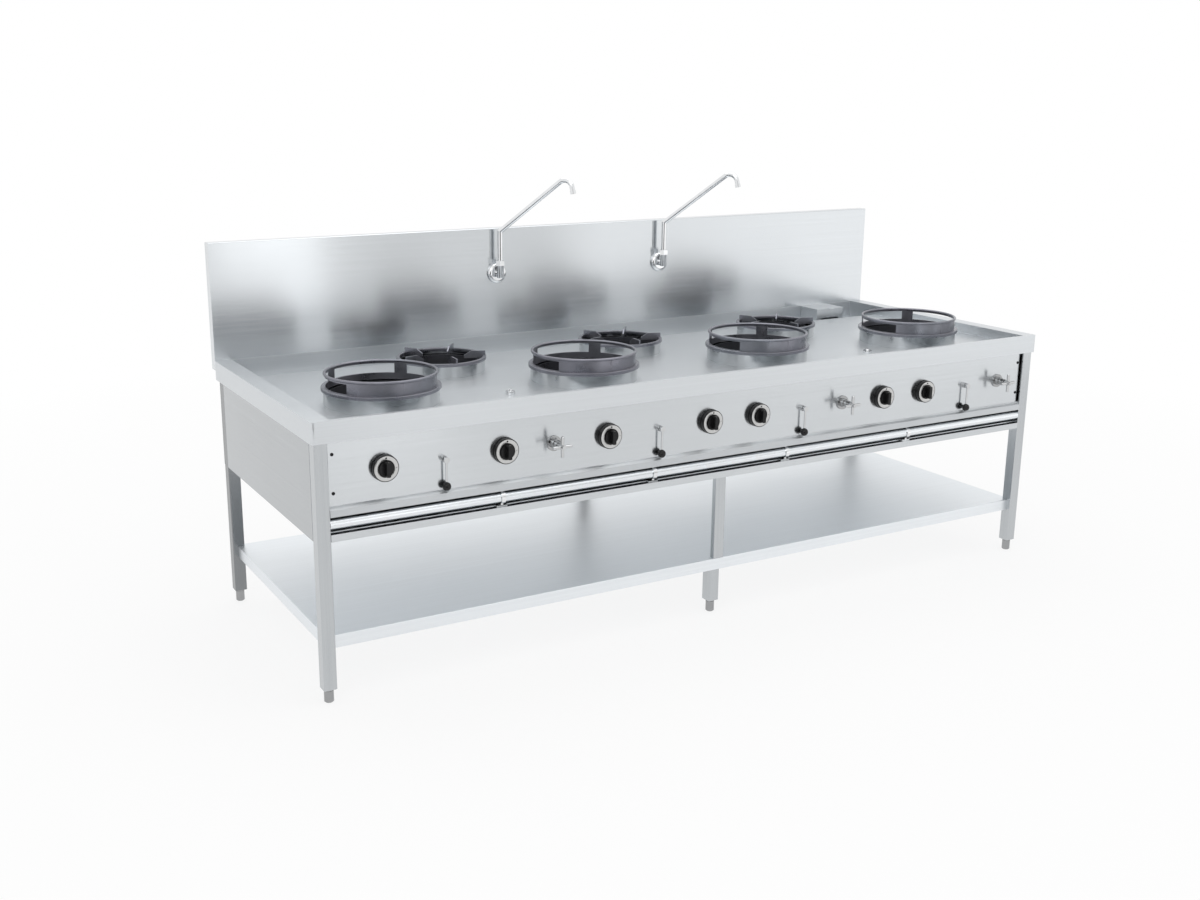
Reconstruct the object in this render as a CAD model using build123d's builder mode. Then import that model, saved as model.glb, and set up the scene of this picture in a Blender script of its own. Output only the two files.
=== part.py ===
"""Freestanding gas wok range: four wok burners, three rear burners, two swivel taps.

Millimetres, +Z up. The origin lies on the floor under the middle of the range.
+X is the cook's right and the cook stands on the -Y side.
"""
import os
from math import cos, radians, sin

from build123d import *

os.makedirs("parts", exist_ok=True)

# Overall size
WIDTH = 2800.0
RIM_Z = 840.0
BODY_DEPTH = 992.0
HANDLE_REACH = 54.0
DEPTH = BODY_DEPTH + HANDLE_REACH
FRONT_Y = HANDLE_REACH - DEPTH / 2
SHEET = 1.5
RUNNING_FIT = 0.05
CLEARANCE = 0.4

# Legs and feet
LEG = 40.0
LEG_EDGE_R = 3.0
LEG_INSET = 8.0
LEG_REAR_INSET = 54.0
LEG_Z = 42.0
REAR_LEG_FACE = BODY_DEPTH - LEG_REAR_INSET
PLUG = 12.0
SHORT_LEG_SETBACK = 38.0
LEG_X = WIDTH / 2 - LEG_INSET - LEG / 2
LEG_INNER_X = LEG_X - LEG / 2
FRONT_LEG_Y = FRONT_Y + LEG / 2
REAR_LEG_Y = FRONT_Y + REAR_LEG_FACE - LEG / 2
FRONT_SHORT_Y = FRONT_Y + SHORT_LEG_SETBACK + LEG / 2
REAR_SHORT_Y = FRONT_Y + REAR_LEG_FACE - SHORT_LEG_SETBACK - LEG / 2
FOOT_R = 14.5
FOOT_CHAMFER = 3.0
FOOT_GROOVE = 1.0
STUD_R = 6.0
STUD_LENGTH = 60.0

# Shelf under the range
SHELF_Z = 201.0
SHELF_LIP = 39.0
SHELF_INSET = 18.0
SHELF_FOLD_R = 3.0
SHELF_W = WIDTH - 2 * (LEG_INSET + SHELF_INSET)
SHELF_FRONT = SHELF_INSET
SHELF_REAR = REAR_LEG_FACE - SHELF_INSET
SHELF_D = SHELF_REAR - SHELF_FRONT
SHELF_Y = FRONT_Y + (SHELF_FRONT + SHELF_REAR) / 2
UPRIGHT_D = 21.0

# Sheets that close the body below and behind
BOTTOM_SETBACK = 24.0
BOTTOM_LAP = 10.0
HOSE_HOLE_R = 40.0
HOSE_HOLE_AHEAD = 75.0
INLET_HOLE_R = 30.0

# Frame tubes
BEAM_DROP = 353.0
BEAM_Z = RIM_Z - BEAM_DROP
BEAM_H = 21.5
SIDE_BEAM_W = 20.0
DECK_RAIL_W = 30.0
DECK_RAIL_H = 20.0

# Top tray: folded rim, sunk deck and rear gutter
TRAY_OVERHANG = 8.0
SPLASH_D = 40.0
TRAY_REAR = BODY_DEPTH - SPLASH_D
FASCIA_H = 64.0
RIM_CORNER_R = 10.0
FRONT_FLANGE = 13.0
SIDE_FLANGE = 56.0
DECK_RECESS = 36.0
GUTTER_SPAN = 157.0
DECK_REAR = TRAY_REAR - GUTTER_SPAN
GUTTER_DROP = 30.0
FASCIA_Z = RIM_Z - FASCIA_H
DECK_Z = RIM_Z - DECK_RECESS
GUTTER_Z = DECK_Z - GUTTER_DROP
TRAY_D = TRAY_REAR + TRAY_OVERHANG
TRAY_Y = FRONT_Y + (TRAY_REAR - TRAY_OVERHANG) / 2
DECK_W = WIDTH - 2 * SIDE_FLANGE
DECK_FRONT_Y = FRONT_Y - TRAY_OVERHANG + FRONT_FLANGE
TRAY_REAR_Y = FRONT_Y + TRAY_REAR
PAN_D = TRAY_REAR_Y - SHEET - DECK_FRONT_Y
PAN_Y = (TRAY_REAR_Y - SHEET + DECK_FRONT_Y) / 2
GUTTER_D = TRAY_REAR - SHEET - DECK_REAR
GUTTER_MID_Y = FRONT_Y + (TRAY_REAR - SHEET + DECK_REAR) / 2

# Backsplash
SPLASH_LAP = 33.0
SPLASH_RISE = 390.0
SPLASH_FOLD_R = 3.0
SPLASH_Z = RIM_Z - SPLASH_LAP
SPLASH_TOP = RIM_Z + SPLASH_RISE
SPLASH_Y = TRAY_REAR_Y + SPLASH_D / 2

# Control panel, folded forward at its foot
PANEL_SETBACK = 12.0
PANEL_DROP = 281.0
PANEL_LIP = 21.0
SLOPE_H = 9.0
PANEL_RETURN = 15.0
PANEL_END_GAP = 8.0
CONTROL_DROP = 159.0
PANEL_Z = RIM_Z - PANEL_DROP
SLOPE_BOTTOM_Z = PANEL_Z + PANEL_LIP
SLOPE_TOP_Z = SLOPE_BOTTOM_Z + SLOPE_H
CONTROL_Z = RIM_Z - CONTROL_DROP
PANEL_Y = FRONT_Y + PANEL_SETBACK
PANEL_W = 2 * LEG_INNER_X
SCREW_R = 5.0
SCREW_H = 2.5
SCREW_DOME = 1.5
SCREW_INSET = 15.5
SCREW_DROPS = (215.0, 102.0)

# Rail and its clamps
RAIL_R = 16.0
RAIL_SETBACK = 16.5
RAIL_DROP = 304.5
RAIL_Z = RIM_Z - RAIL_DROP
CLAMP_W = 14.0
CLAMP_WALL = 3.0
CLAMP_STEM = 8.0
CLAMP_FOOT_L = 36.0
CLAMP_FOOT_W = 12.0
CLAMP_FOOT_H = 3.0

# Burners
WOK_COUNT = 4
REAR_COUNT = 3
LEFT_MARGIN = 322.0
RIGHT_MARGIN = 366.0
WOK_SETBACK = 281.0
REAR_MARGIN = 171.0
REAR_SETBACK = DECK_REAR - REAR_MARGIN
BURNER_PITCH = (WIDTH - LEFT_MARGIN - RIGHT_MARGIN) / (WOK_COUNT - 1)
BURNER_MID_X = (LEFT_MARGIN - RIGHT_MARGIN) / 2
WOK_X = [BURNER_MID_X + (i - (WOK_COUNT - 1) / 2) * BURNER_PITCH for i in range(WOK_COUNT)]
REAR_X = [BURNER_MID_X + (i - (REAR_COUNT - 1) / 2) * BURNER_PITCH for i in range(REAR_COUNT)]
WOK_Y = FRONT_Y + WOK_SETBACK
REAR_Y = FRONT_Y + REAR_SETBACK
WOK_AT = [(x, WOK_Y) for x in WOK_X]
REAR_AT = [(x, REAR_Y) for x in REAR_X]

# Wok ring: foot ring, windowed wind shield and round top rod
COLLAR_H = 42.0
SHIELD_R = 168.5
FOOT_RING_W = 12.0
WOK_RING_R = SHIELD_R + FOOT_RING_W
WOK_RING_H = 11.0
WOK_RING_EDGE = 2.0
SHIELD_WALL = 2.0
SHIELD_DIP = 8.0
ROD_R = 4.5
ROD_INSET = 0.5
ROD_MID_R = SHIELD_R - ROD_INSET
ROD_RISE = 50.5
WINDOW_LIFT = 1.5
WINDOW_H = 30.0
WINDOW_ARC = 72.0
WINDOW_ANGLE = 90.0
WEDGE_STEPS = 8
POST_ARC = 14.0
SEAM_W = 1.5
SEAM_DEPTH = 0.8
COLLAR_OUTSET = 5.5
WOK_COLLAR_R = SHIELD_R + COLLAR_OUTSET
COLLAR_Z = DECK_Z + COLLAR_H
COLLAR_WALL = 1.5

# Pan support: ring with radial fins
PAN_RING_R = 150.0
PAN_RING_W = 11.0
PAN_RING_H = 10.0
REAR_COLLAR_R = 146.0
REAR_COLLAR_H = 38.0
REAR_COLLAR_Z = DECK_Z + REAR_COLLAR_H
FIN_COUNT = 5
FIN_START = -22.0
FIN_T = 5.0
FIN_RISE = 15.0
FIN_SHOULDER_R = 100.0
FIN_TIP_R = 76.0

# Burner wells hang in the deck by a flange
WELL_WALL = 3.0
WELL_GAP = 10.0
FLANGE_LAP = 8.0
WOK_WELL_DEPTH = 101.0
REAR_WELL_DEPTH = 49.0
WOK_WELL_Z = DECK_Z - WOK_WELL_DEPTH
REAR_WELL_Z = DECK_Z - REAR_WELL_DEPTH
LINER_DROP = 12.0
WELL_INLET_R = 24.0
WOK_WELL_R = WOK_COLLAR_R - COLLAR_WALL - WELL_GAP
REAR_WELL_R = REAR_COLLAR_R - COLLAR_WALL - WELL_GAP

# Burner heads
JET_RING_R = 92.0
JET_RING_W = 24.0
JET_RING_H = 20.0
JET_COUNT = 16
JET_R = 6.0
JET_H = 26.0
JET_BORE_R = 2.5
BURNER_HUB_R = 32.0
BURNER_HUB_H = 34.0
SPOKE_COUNT = 4
SPOKE_W = 14.0
REAR_HEAD_R = 62.0
REAR_HEAD_H = 34.0
REAR_CAP_R = 46.0
REAR_CAP_H = 10.0
PORT_COUNT = 24
PORT_W = 2.5
PORT_H = 6.0
INLET_BOSS_R = 14.0
INLET_BOSS_H = 16.0

# Igniters: ceramic rods on the well floors
IGNITER_R = 4.0
IGNITER_TIP_R = 2.5
WOK_IGNITER_REACH = 148.0
WOK_IGNITER_ANGLE = 212.0
WOK_IGNITER_RISE = 44.0
REAR_IGNITER_REACH = 84.0
REAR_IGNITER_ANGLE = -117.0
REAR_IGNITER_RISE = 8.0

# Rotary gas knobs, each placed from the burner it serves
WOK_KNOB_OFFSETS = (-106.5, -68.2, -197.1, -165.8)
REAR_KNOB_OFFSETS = (-75.8, -36.4, -6.2)
WOK_KNOB_X = [x + offset_x for x, offset_x in zip(WOK_X, WOK_KNOB_OFFSETS)]
REAR_KNOB_X = [x + offset_x for x, offset_x in zip(REAR_X, REAR_KNOB_OFFSETS)]
KNOB_X = sorted(WOK_KNOB_X + REAR_KNOB_X)
BEZEL_R = 40.0
BEZEL_D = 4.0
KNOB_R = 39.0
KNOB_GROOVE = 0.6
KNOB_D = 15.4
KNOB_EDGE = 1.5
DIAL_R = 37.0
DIAL_RECESS = 0.8
KNOB_HUB_R = 22.0
KNOB_HUB_D = 2.5
GRIP_W = 12.0
GRIP_L = 43.0
GRIP_D = 17.0
GRIP_EDGE = 3.0
SPINDLE_R = 4.0
SPINDLE_DEPTH = 18.0

# Levers with ball ends, each placed from its wok burner
LEVER_OFFSETS = (80.0, 121.4, -8.2, 35.5)
LEVER_X = [x + offset_x for x, offset_x in zip(WOK_X, LEVER_OFFSETS)]
LEVER_PLANE = 16.0
LEVER_HEAD_R = 9.0
LEVER_HEAD_D = 11.0
LEVER_BOSS_R = 9.5
LEVER_BOSS_D = 8.0
LEVER_ROD_R = 3.3
LEVER_DROP = 80.0
BALL_R = 13.0
BALL_SEAT = 7.0

# Cross handles on stepped bonnets, each placed from the nearest burner
HANDLE_OFFSETS = (91.3, 165.3, 199.8)
HANDLE_X = [x + offset_x for x, offset_x in zip((REAR_X[0], *WOK_X[2:]), HANDLE_OFFSETS)]
ROSETTE_R = 24.0
ROSETTE_D = 5.0
BONNET_STEPS = ((15.0, 14.0), (11.5, 16.0), (9.0, 8.0))
CROSS_R = 32.5
CROSS_ARM_R = 5.2
CROSS_END_EDGE = 1.5
CROSS_PLANE = 12.0
CROSS_HUB_R = 8.8
CROSS_CAP_R = 6.0
CROSS_CAP_D = 6.0

# Valve bodies behind the panel
VALVE_R = 14.0
VALVE_D = 42.0
NECK_R = 8.0
NECK_D = 3.0
HOLE_GAP = 0.5

# Gas pipes
MANIFOLD_R = 16.9
GAS_INLET_R = 13.2
INLET_L = 20.0
MANIFOLD_SETBACK = 80.0
MANIFOLD_INSET = 110.0
MANIFOLD_PAST_LEVER = 40.5
MANIFOLD_END_X = WIDTH / 2 - MANIFOLD_INSET
BRANCH_R = 8.0
INLET_INSET = 62.0
INLET_SETBACK = BODY_DEPTH - INLET_INSET
FEED_R = 5.0
FEED_DROP = 190.0
FEED_Z = RIM_Z - FEED_DROP
FEED_BEND = 12.0
FEED_DEPTH = 24.0

# Water pipes
HEADER_R = 13.4
WATER_INLET_R = 10.5
HEADER_DROP = 228.0
HEADER_Z = RIM_Z - HEADER_DROP
HEADER_SETBACK = 110.0
HEADER_PAST_NOZZLE = 30.0
RISER_R = 6.0
RISER_BEND = 10.0
NOZZLE_OFFSETS = (36.0, 59.0)
NOZZLE_SETBACKS = (190.0, 170.0)
NOZZLE_X = [REAR_X[0] + NOZZLE_OFFSETS[0], REAR_X[-1] + NOZZLE_OFFSETS[1]]
NOZZLE_AT = list(zip(NOZZLE_X, NOZZLE_SETBACKS))
NOZZLE_R = 15.0
NOZZLE_H = 9.0
NOZZLE_TIP_R = 7.0
NOZZLE_TIP_H = 5.0
NOZZLE_EDGE = 1.5
NOZZLE_HOLE_R = 9.0

# Taps
TAP_OFFSETS = (21.0, 25.0)
TAP_X = [x + offset_x for x, offset_x in zip(WOK_X[1:3], TAP_OFFSETS)]
TAP_RISE = 227.0
TAP_Z = RIM_Z + TAP_RISE
TAP_REACH = 33.0
ROSETTE_DOME_R = 37.0
ROSETTE_DOME_D = 14.0
ROSETTE_DOME_EDGE = 11.0
TAP_STUB_R = 10.0
TAP_BODY_R = 13.0
TAP_BODY_DROP = 14.0
TAP_BODY_RISE = 31.0
TAP_BODY_EDGE = 2.0
TAP_NUT_R = 17.5
TAP_NUT_H = 18.0
TAP_TAIL = 9.0
SPOUT_YAW = 33.7
SPOUT_R = 9.0
SPOUT_WALL = 1.5
SPOUT_SEAT = 15.0
SPOUT_RISE = 154.5
SPOUT_MITRE_Z = TAP_Z + SPOUT_RISE
ARM_LENGTH = 304.5
ARM_ANGLE = 37.1
HOOK_R = 28.5
HOOK_ARC = 114.0
HOOK_END = 13.0
AERATOR_R = 10.5
AERATOR_L = 12.0
TAP_Y = TRAY_REAR_Y - TAP_REACH

# Drain
DRAIN_INSET = 256.5
DRAIN_X = WIDTH / 2 - DRAIN_INSET
DRAIN_MARGIN = 54.0
DRAIN_SETBACK = TRAY_REAR - DRAIN_MARGIN
DRAIN_R = 25.0
DRAIN_WALL = 2.0
DRAIN_FLANGE_R = 34.0
DRAIN_LENGTH = 174.0
DRAIN_Z = GUTTER_Z - DRAIN_LENGTH
DRAIN_STOP_R = 29.0
DRAIN_STOP_H = 4.0
DRAIN_SPIGOT = 45.0
COVER_W = 139.0
COVER_SPAN = 107.0
COVER_SETBACK = TRAY_REAR - COVER_SPAN
COVER_TOP = 2.0
COVER_SLOT_H = 26.0
COVER_SLOT_W = 90.0
COVER_TAB_W = 22.0
COVER_TAB_D = 14.0
COVER_Z = RIM_Z - COVER_TOP
COVER_REAR = TRAY_REAR - SHEET - CLEARANCE
COVER_D = COVER_REAR - COVER_SETBACK
COVER_Y = FRONT_Y + (COVER_REAR + COVER_SETBACK) / 2

# Rails under the deck: before the wok wells, between the two rows of wells, and before the gutter
DECK_RAIL_FRONT = 80.0
DECK_RAIL_PAST_WOK = 25.5
DECK_RAIL_MARGIN = 20.0
DECK_RAIL_MID = WOK_SETBACK + WOK_WELL_R + DECK_RAIL_PAST_WOK
DECK_RAIL_SETBACKS = (DECK_RAIL_FRONT, DECK_RAIL_MID, DECK_REAR - DECK_RAIL_MARGIN)

# Rail clamps, each placed from the nearest burner
CLAMP_OFFSETS = (-85.0, 102.0, -71.0, 120.0)
CLAMP_FROM = (REAR_X[0], WOK_X[1], WOK_X[2], REAR_X[2])
CLAMP_X = [x + offset_x for x, offset_x in zip(CLAMP_FROM, CLAMP_OFFSETS)]

CORNER_LEGS = [(x, y) for x in (-LEG_X, LEG_X) for y in (FRONT_LEG_Y, REAR_LEG_Y)]
LEG_TOP = RIM_Z - SHEET


def facing_cook(y):
    """Plane at depth y that faces the cook, with X and Z as its own axes."""
    return Plane.XZ.offset(-y)


def ring_arc(radius, start, arc):
    """Points of a wedge that reaches past a ring, from one angle over an arc."""
    reach = 2 * radius
    rim = [radians(start + arc * i / WEDGE_STEPS) for i in range(WEDGE_STEPS + 1)]
    return [(0, 0)] + [(reach * cos(a), reach * sin(a)) for a in rim]


# Legs: square tubes, each closed at the foot by a drilled plug
def leg_row(corner_y, short_y, upright_y):
    """Two corner legs, the short leg under the shelf and the upright on the shelf."""
    spots = [(-LEG_X, corner_y, LEG_TOP), (LEG_X, corner_y, LEG_TOP), (0, short_y, SHELF_Z - SHEET)]
    with BuildPart() as row:
        for x, y, top in spots:
            with BuildSketch(Plane.XY.offset(LEG_Z)):
                with Locations((x, y)):
                    RectangleRounded(LEG, LEG, LEG_EDGE_R)
            extrude(amount=top - LEG_Z)
            with BuildSketch(Plane.XY.offset(LEG_Z + PLUG)):
                with Locations((x, y)):
                    RectangleRounded(LEG - 2 * SHEET, LEG - 2 * SHEET, LEG_EDGE_R - SHEET)
            extrude(amount=top - LEG_Z - PLUG, mode=Mode.SUBTRACT)
            with BuildSketch(Plane.XY.offset(LEG_Z)):
                with Locations((x, y)):
                    Circle(STUD_R + RUNNING_FIT)
            extrude(amount=PLUG, mode=Mode.SUBTRACT)
        with BuildSketch(Plane.XY.offset(SHELF_Z)):
            with Locations((0, upright_y)):
                RectangleRounded(LEG, UPRIGHT_D, LEG_EDGE_R)
                RectangleRounded(
                    LEG - 2 * SHEET, UPRIGHT_D - 2 * SHEET, LEG_EDGE_R - SHEET, mode=Mode.SUBTRACT
                )
        extrude(amount=BEAM_Z - SHELF_Z)
    return row


front_legs = leg_row(FRONT_LEG_Y, FRONT_SHORT_Y, FRONT_Y + SHELF_FRONT + UPRIGHT_D / 2)
front_legs.part.label = "front_legs"
export_step(front_legs.part, "parts/front_legs.step")

rear_legs = leg_row(REAR_LEG_Y, REAR_SHORT_Y, FRONT_Y + SHELF_REAR - UPRIGHT_D / 2)
rear_legs.part.label = "rear_legs"
export_step(rear_legs.part, "parts/rear_legs.step")

# Levelling feet: a round foot on a stud that turns in the plug
FEET = {
    "front_left_foot": (-LEG_X, FRONT_LEG_Y),
    "front_middle_foot": (0, FRONT_SHORT_Y),
    "front_right_foot": (LEG_X, FRONT_LEG_Y),
    "rear_left_foot": (-LEG_X, REAR_LEG_Y),
    "rear_middle_foot": (0, REAR_SHORT_Y),
    "rear_right_foot": (LEG_X, REAR_LEG_Y),
}
for foot_name, (foot_x, foot_y) in FEET.items():
    with BuildPart() as foot:
        with BuildSketch():
            with Locations((foot_x, foot_y)):
                Circle(FOOT_R)
        extrude(amount=LEG_Z)
        chamfer(foot.edges().sort_by(Axis.Z)[0], length=FOOT_CHAMFER)
        with BuildSketch(Plane.XY.offset(LEG_Z - 2 * FOOT_CHAMFER)):
            with Locations((foot_x, foot_y)):
                Circle(FOOT_R)
                Circle(FOOT_R - FOOT_GROOVE, mode=Mode.SUBTRACT)
        extrude(amount=FOOT_GROOVE, mode=Mode.SUBTRACT)
        with BuildSketch(Plane.XY.offset(LEG_Z)):
            with Locations((foot_x, foot_y)):
                Circle(STUD_R)
        extrude(amount=STUD_LENGTH)
    foot.part.label = foot_name
    export_step(foot.part, f"parts/{foot_name}.step")

# Shelf: one sheet folded down on all four sides and notched round the corner legs
with BuildPart() as shelf:
    with BuildSketch(Plane.XY.offset(SHELF_Z - SHELF_LIP)):
        with Locations((0, SHELF_Y)):
            Rectangle(SHELF_W, SHELF_D)
        with Locations(*CORNER_LEGS):
            Rectangle(LEG, LEG, mode=Mode.SUBTRACT)
    extrude(amount=SHELF_LIP)
    long_folds = shelf.edges().group_by(Axis.Z)[-1].filter_by(Axis.X).sort_by(Axis.Y)
    fillet((long_folds[0], long_folds[-1]), radius=SHELF_FOLD_R)
    with BuildSketch(Plane.XY.offset(SHELF_Z - SHELF_LIP)):
        with Locations((0, SHELF_Y)):
            Rectangle(SHELF_W - 2 * SHEET, SHELF_D - 2 * SHEET)
        with Locations(*CORNER_LEGS):
            Rectangle(LEG + 2 * SHEET, LEG + 2 * SHEET, mode=Mode.SUBTRACT)
    extrude(amount=SHELF_LIP - SHEET, mode=Mode.SUBTRACT)
shelf.part.label = "shelf"
export_step(shelf.part, "parts/shelf.step")

# Frame tubes: front and rear beams, side beams, and rails under the deck
SIDE_BEAM_X = LEG_X + LEG / 2 - SHEET - SIDE_BEAM_W / 2
BEAM_TOP = BEAM_Z + BEAM_H
with BuildPart() as frame_beams:
    with BuildSketch(Plane.YZ.offset(-LEG_INNER_X)):
        with Locations((FRONT_LEG_Y, BEAM_Z + BEAM_H / 2), (REAR_LEG_Y, BEAM_Z + BEAM_H / 2)):
            Rectangle(LEG, BEAM_H)
            Rectangle(LEG - 2 * SHEET, BEAM_H - 2 * SHEET, mode=Mode.SUBTRACT)
    extrude(amount=2 * LEG_INNER_X)
    with BuildSketch(facing_cook(REAR_LEG_Y - LEG / 2)):
        with Locations((-SIDE_BEAM_X, BEAM_Z + BEAM_H / 2), (SIDE_BEAM_X, BEAM_Z + BEAM_H / 2)):
            Rectangle(SIDE_BEAM_W, BEAM_H)
            Rectangle(SIDE_BEAM_W - 2 * SHEET, BEAM_H - 2 * SHEET, mode=Mode.SUBTRACT)
    extrude(amount=REAR_LEG_Y - FRONT_LEG_Y - LEG)
    rail_z = DECK_Z - SHEET - DECK_RAIL_H / 2
    with BuildSketch(Plane.YZ.offset(-DECK_W / 2)):
        with Locations(*[(FRONT_Y + setback, rail_z) for setback in DECK_RAIL_SETBACKS]):
            Rectangle(DECK_RAIL_W, DECK_RAIL_H)
            Rectangle(DECK_RAIL_W - 2 * SHEET, DECK_RAIL_H - 2 * SHEET, mode=Mode.SUBTRACT)
    extrude(amount=DECK_W)
frame_beams.part.label = "frame_beams"
export_step(frame_beams.part, "parts/frame_beams.step")

# Top tray: rim folded down outside, deck sunk inside, gutter sunk further along the back
with BuildPart() as top_tray:
    with BuildSketch(Plane.XY.offset(FASCIA_Z)):
        with Locations((0, TRAY_Y)):
            rim = Rectangle(WIDTH, TRAY_D)
        fillet(rim.vertices().group_by(Axis.Y)[0], radius=RIM_CORNER_R)
    extrude(amount=FASCIA_H)
    with BuildSketch(Plane.XY.offset(FASCIA_Z)):
        with Locations((0, TRAY_Y)):
            rim_inside = Rectangle(WIDTH - 2 * SHEET, TRAY_D - 2 * SHEET)
        fillet(rim_inside.vertices().group_by(Axis.Y)[0], radius=RIM_CORNER_R - SHEET)
    extrude(amount=FASCIA_H - SHEET, mode=Mode.SUBTRACT)
    with BuildSketch(Plane.XY.offset(DECK_Z - SHEET)):
        with Locations((0, PAN_Y)):
            Rectangle(DECK_W + 2 * SHEET, PAN_D + 2 * SHEET)
    extrude(amount=DECK_RECESS)
    with BuildSketch(Plane.XY.offset(GUTTER_Z - SHEET)):
        with Locations((0, GUTTER_MID_Y)):
            Rectangle(DECK_W + 2 * SHEET, GUTTER_D + 2 * SHEET)
    extrude(amount=GUTTER_DROP)
    with BuildSketch(Plane.XY.offset(DECK_Z)):
        with Locations((0, PAN_Y)):
            Rectangle(DECK_W, PAN_D)
    extrude(amount=DECK_RECESS, mode=Mode.SUBTRACT)
    with BuildSketch(Plane.XY.offset(GUTTER_Z)):
        with Locations((0, GUTTER_MID_Y)):
            Rectangle(DECK_W, GUTTER_D)
    extrude(amount=GUTTER_DROP, mode=Mode.SUBTRACT)
    with BuildSketch(Plane.XY.offset(DECK_Z)):
        with Locations(*WOK_AT):
            Circle(WOK_WELL_R + CLEARANCE)
        with Locations(*REAR_AT):
            Circle(REAR_WELL_R + CLEARANCE)
        with Locations(*[(x, FRONT_Y + setback) for x, setback in NOZZLE_AT]):
            Circle(NOZZLE_HOLE_R + CLEARANCE)
    extrude(amount=-SHEET, mode=Mode.SUBTRACT)
    with BuildSketch(Plane.XY.offset(GUTTER_Z)):
        with Locations((DRAIN_X, FRONT_Y + DRAIN_SETBACK)):
            Circle(DRAIN_R + CLEARANCE)
    extrude(amount=-SHEET, mode=Mode.SUBTRACT)
top_tray.part.label = "top_tray"
export_step(top_tray.part, "parts/top_tray.step")

# Side panels between the legs, each with a fold under the side beam
SIDE_D = REAR_LEG_Y - FRONT_LEG_Y - LEG
SIDE_MID_Y = (FRONT_LEG_Y + REAR_LEG_Y) / 2
OUTER_X = LEG_X + LEG / 2
with BuildPart() as side_panels:
    for side in (-1, 1):
        with BuildSketch(Plane.XY.offset(BEAM_Z - SHEET)):
            with Locations((side * (OUTER_X - SHEET / 2), SIDE_MID_Y)):
                Rectangle(SHEET, SIDE_D)
        extrude(amount=LEG_TOP - BEAM_Z + SHEET)
        with BuildSketch(Plane.XY.offset(BEAM_Z - SHEET)):
            with Locations((side * (OUTER_X - SIDE_BEAM_W / 2), SIDE_MID_Y)):
                Rectangle(SIDE_BEAM_W, SIDE_D)
        extrude(amount=SHEET)
side_panels.part.label = "side_panels"
export_step(side_panels.part, "parts/side_panels.step")

# Bottom panel: a sheet on the beams, with a hole ahead of the drain for its hose
BOTTOM_FRONT = FRONT_Y + BOTTOM_SETBACK
BOTTOM_REAR = FRONT_Y + REAR_LEG_FACE - BOTTOM_LAP
with BuildPart() as bottom_panel:
    with BuildSketch(Plane.XY.offset(BEAM_TOP)):
        with Locations((0, (BOTTOM_FRONT + BOTTOM_REAR) / 2)):
            Rectangle(2 * LEG_INNER_X, BOTTOM_REAR - BOTTOM_FRONT)
        with Locations((0, SIDE_MID_Y)):
            Rectangle(2 * SIDE_BEAM_X, SIDE_D)
        with Locations((DRAIN_X, FRONT_Y + DRAIN_SETBACK - HOSE_HOLE_AHEAD)):
            Circle(HOSE_HOLE_R, mode=Mode.SUBTRACT)
    extrude(amount=SHEET)
bottom_panel.part.label = "bottom_panel"
export_step(bottom_panel.part, "parts/bottom_panel.step")

# Rear panel: a sheet behind the rear legs, with holes for the inlets and the tap risers
REAR_PANEL_Y = FRONT_Y + REAR_LEG_FACE
REAR_PANEL_H = GUTTER_Z - SHEET - BEAM_Z
INLETS = ((-MANIFOLD_END_X, CONTROL_Z), (MANIFOLD_END_X, HEADER_Z))
with BuildPart() as rear_panel:
    with BuildSketch(facing_cook(REAR_PANEL_Y + SHEET)):
        with Locations((0, BEAM_Z + REAR_PANEL_H / 2)):
            Rectangle(2 * OUTER_X, REAR_PANEL_H)
        with Locations(*INLETS):
            Circle(INLET_HOLE_R, mode=Mode.SUBTRACT)
        with Locations(*[(x, HEADER_Z) for x in TAP_X]):
            Circle(RISER_R + HOLE_GAP, mode=Mode.SUBTRACT)
    extrude(amount=SHEET)
rear_panel.part.label = "rear_panel"
export_step(rear_panel.part, "parts/rear_panel.step")

# Backsplash: a shallow folded box, open below, with a hole for each tap
with BuildPart() as backsplash:
    with BuildSketch(Plane.XY.offset(SPLASH_Z)):
        with Locations((0, SPLASH_Y)):
            Rectangle(WIDTH, SPLASH_D)
    extrude(amount=SPLASH_TOP - SPLASH_Z)
    fillet(backsplash.edges().group_by(Axis.Z)[-1], radius=SPLASH_FOLD_R)
    with BuildSketch(Plane.XY.offset(SPLASH_Z)):
        with Locations((0, SPLASH_Y)):
            Rectangle(WIDTH - 2 * SHEET, SPLASH_D - 2 * SHEET)
    extrude(amount=SPLASH_TOP - SPLASH_Z - SHEET, mode=Mode.SUBTRACT)
    with BuildSketch(facing_cook(TRAY_REAR_Y + SHEET)):
        with Locations(*[(x, TAP_Z) for x in TAP_X]):
            Circle(TAP_STUB_R + CLEARANCE)
    extrude(amount=SHEET, mode=Mode.SUBTRACT)
backsplash.part.label = "backsplash"
export_step(backsplash.part, "parts/backsplash.step")

# Control panel: flat face short of the right leg, sloping fold, lip and return
CONTROL_X = KNOB_X + LEVER_X + HANDLE_X
with BuildPart() as control_panel:
    with BuildSketch(Plane.YZ.offset(-PANEL_W / 2)):
        with BuildLine():
            fold = Polyline(
                (PANEL_Y, DECK_Z - SHEET),
                (PANEL_Y, SLOPE_TOP_Z),
                (FRONT_Y, SLOPE_BOTTOM_Z),
                (FRONT_Y, PANEL_Z),
                (FRONT_Y + PANEL_RETURN, PANEL_Z),
            )
            offset(fold, amount=SHEET, side=Side.LEFT, kind=Kind.INTERSECTION)
        make_face()
    extrude(amount=PANEL_W)
    with BuildSketch(facing_cook(PANEL_Y + SHEET)):
        with Locations(*[(x, CONTROL_Z) for x in CONTROL_X]):
            Circle(NECK_R + HOLE_GAP)
        with Locations((LEG_INNER_X - PANEL_END_GAP / 2, (SLOPE_TOP_Z + DECK_Z) / 2)):
            Rectangle(PANEL_END_GAP, DECK_Z - SLOPE_TOP_Z)
    extrude(amount=SHEET, mode=Mode.SUBTRACT)
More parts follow.
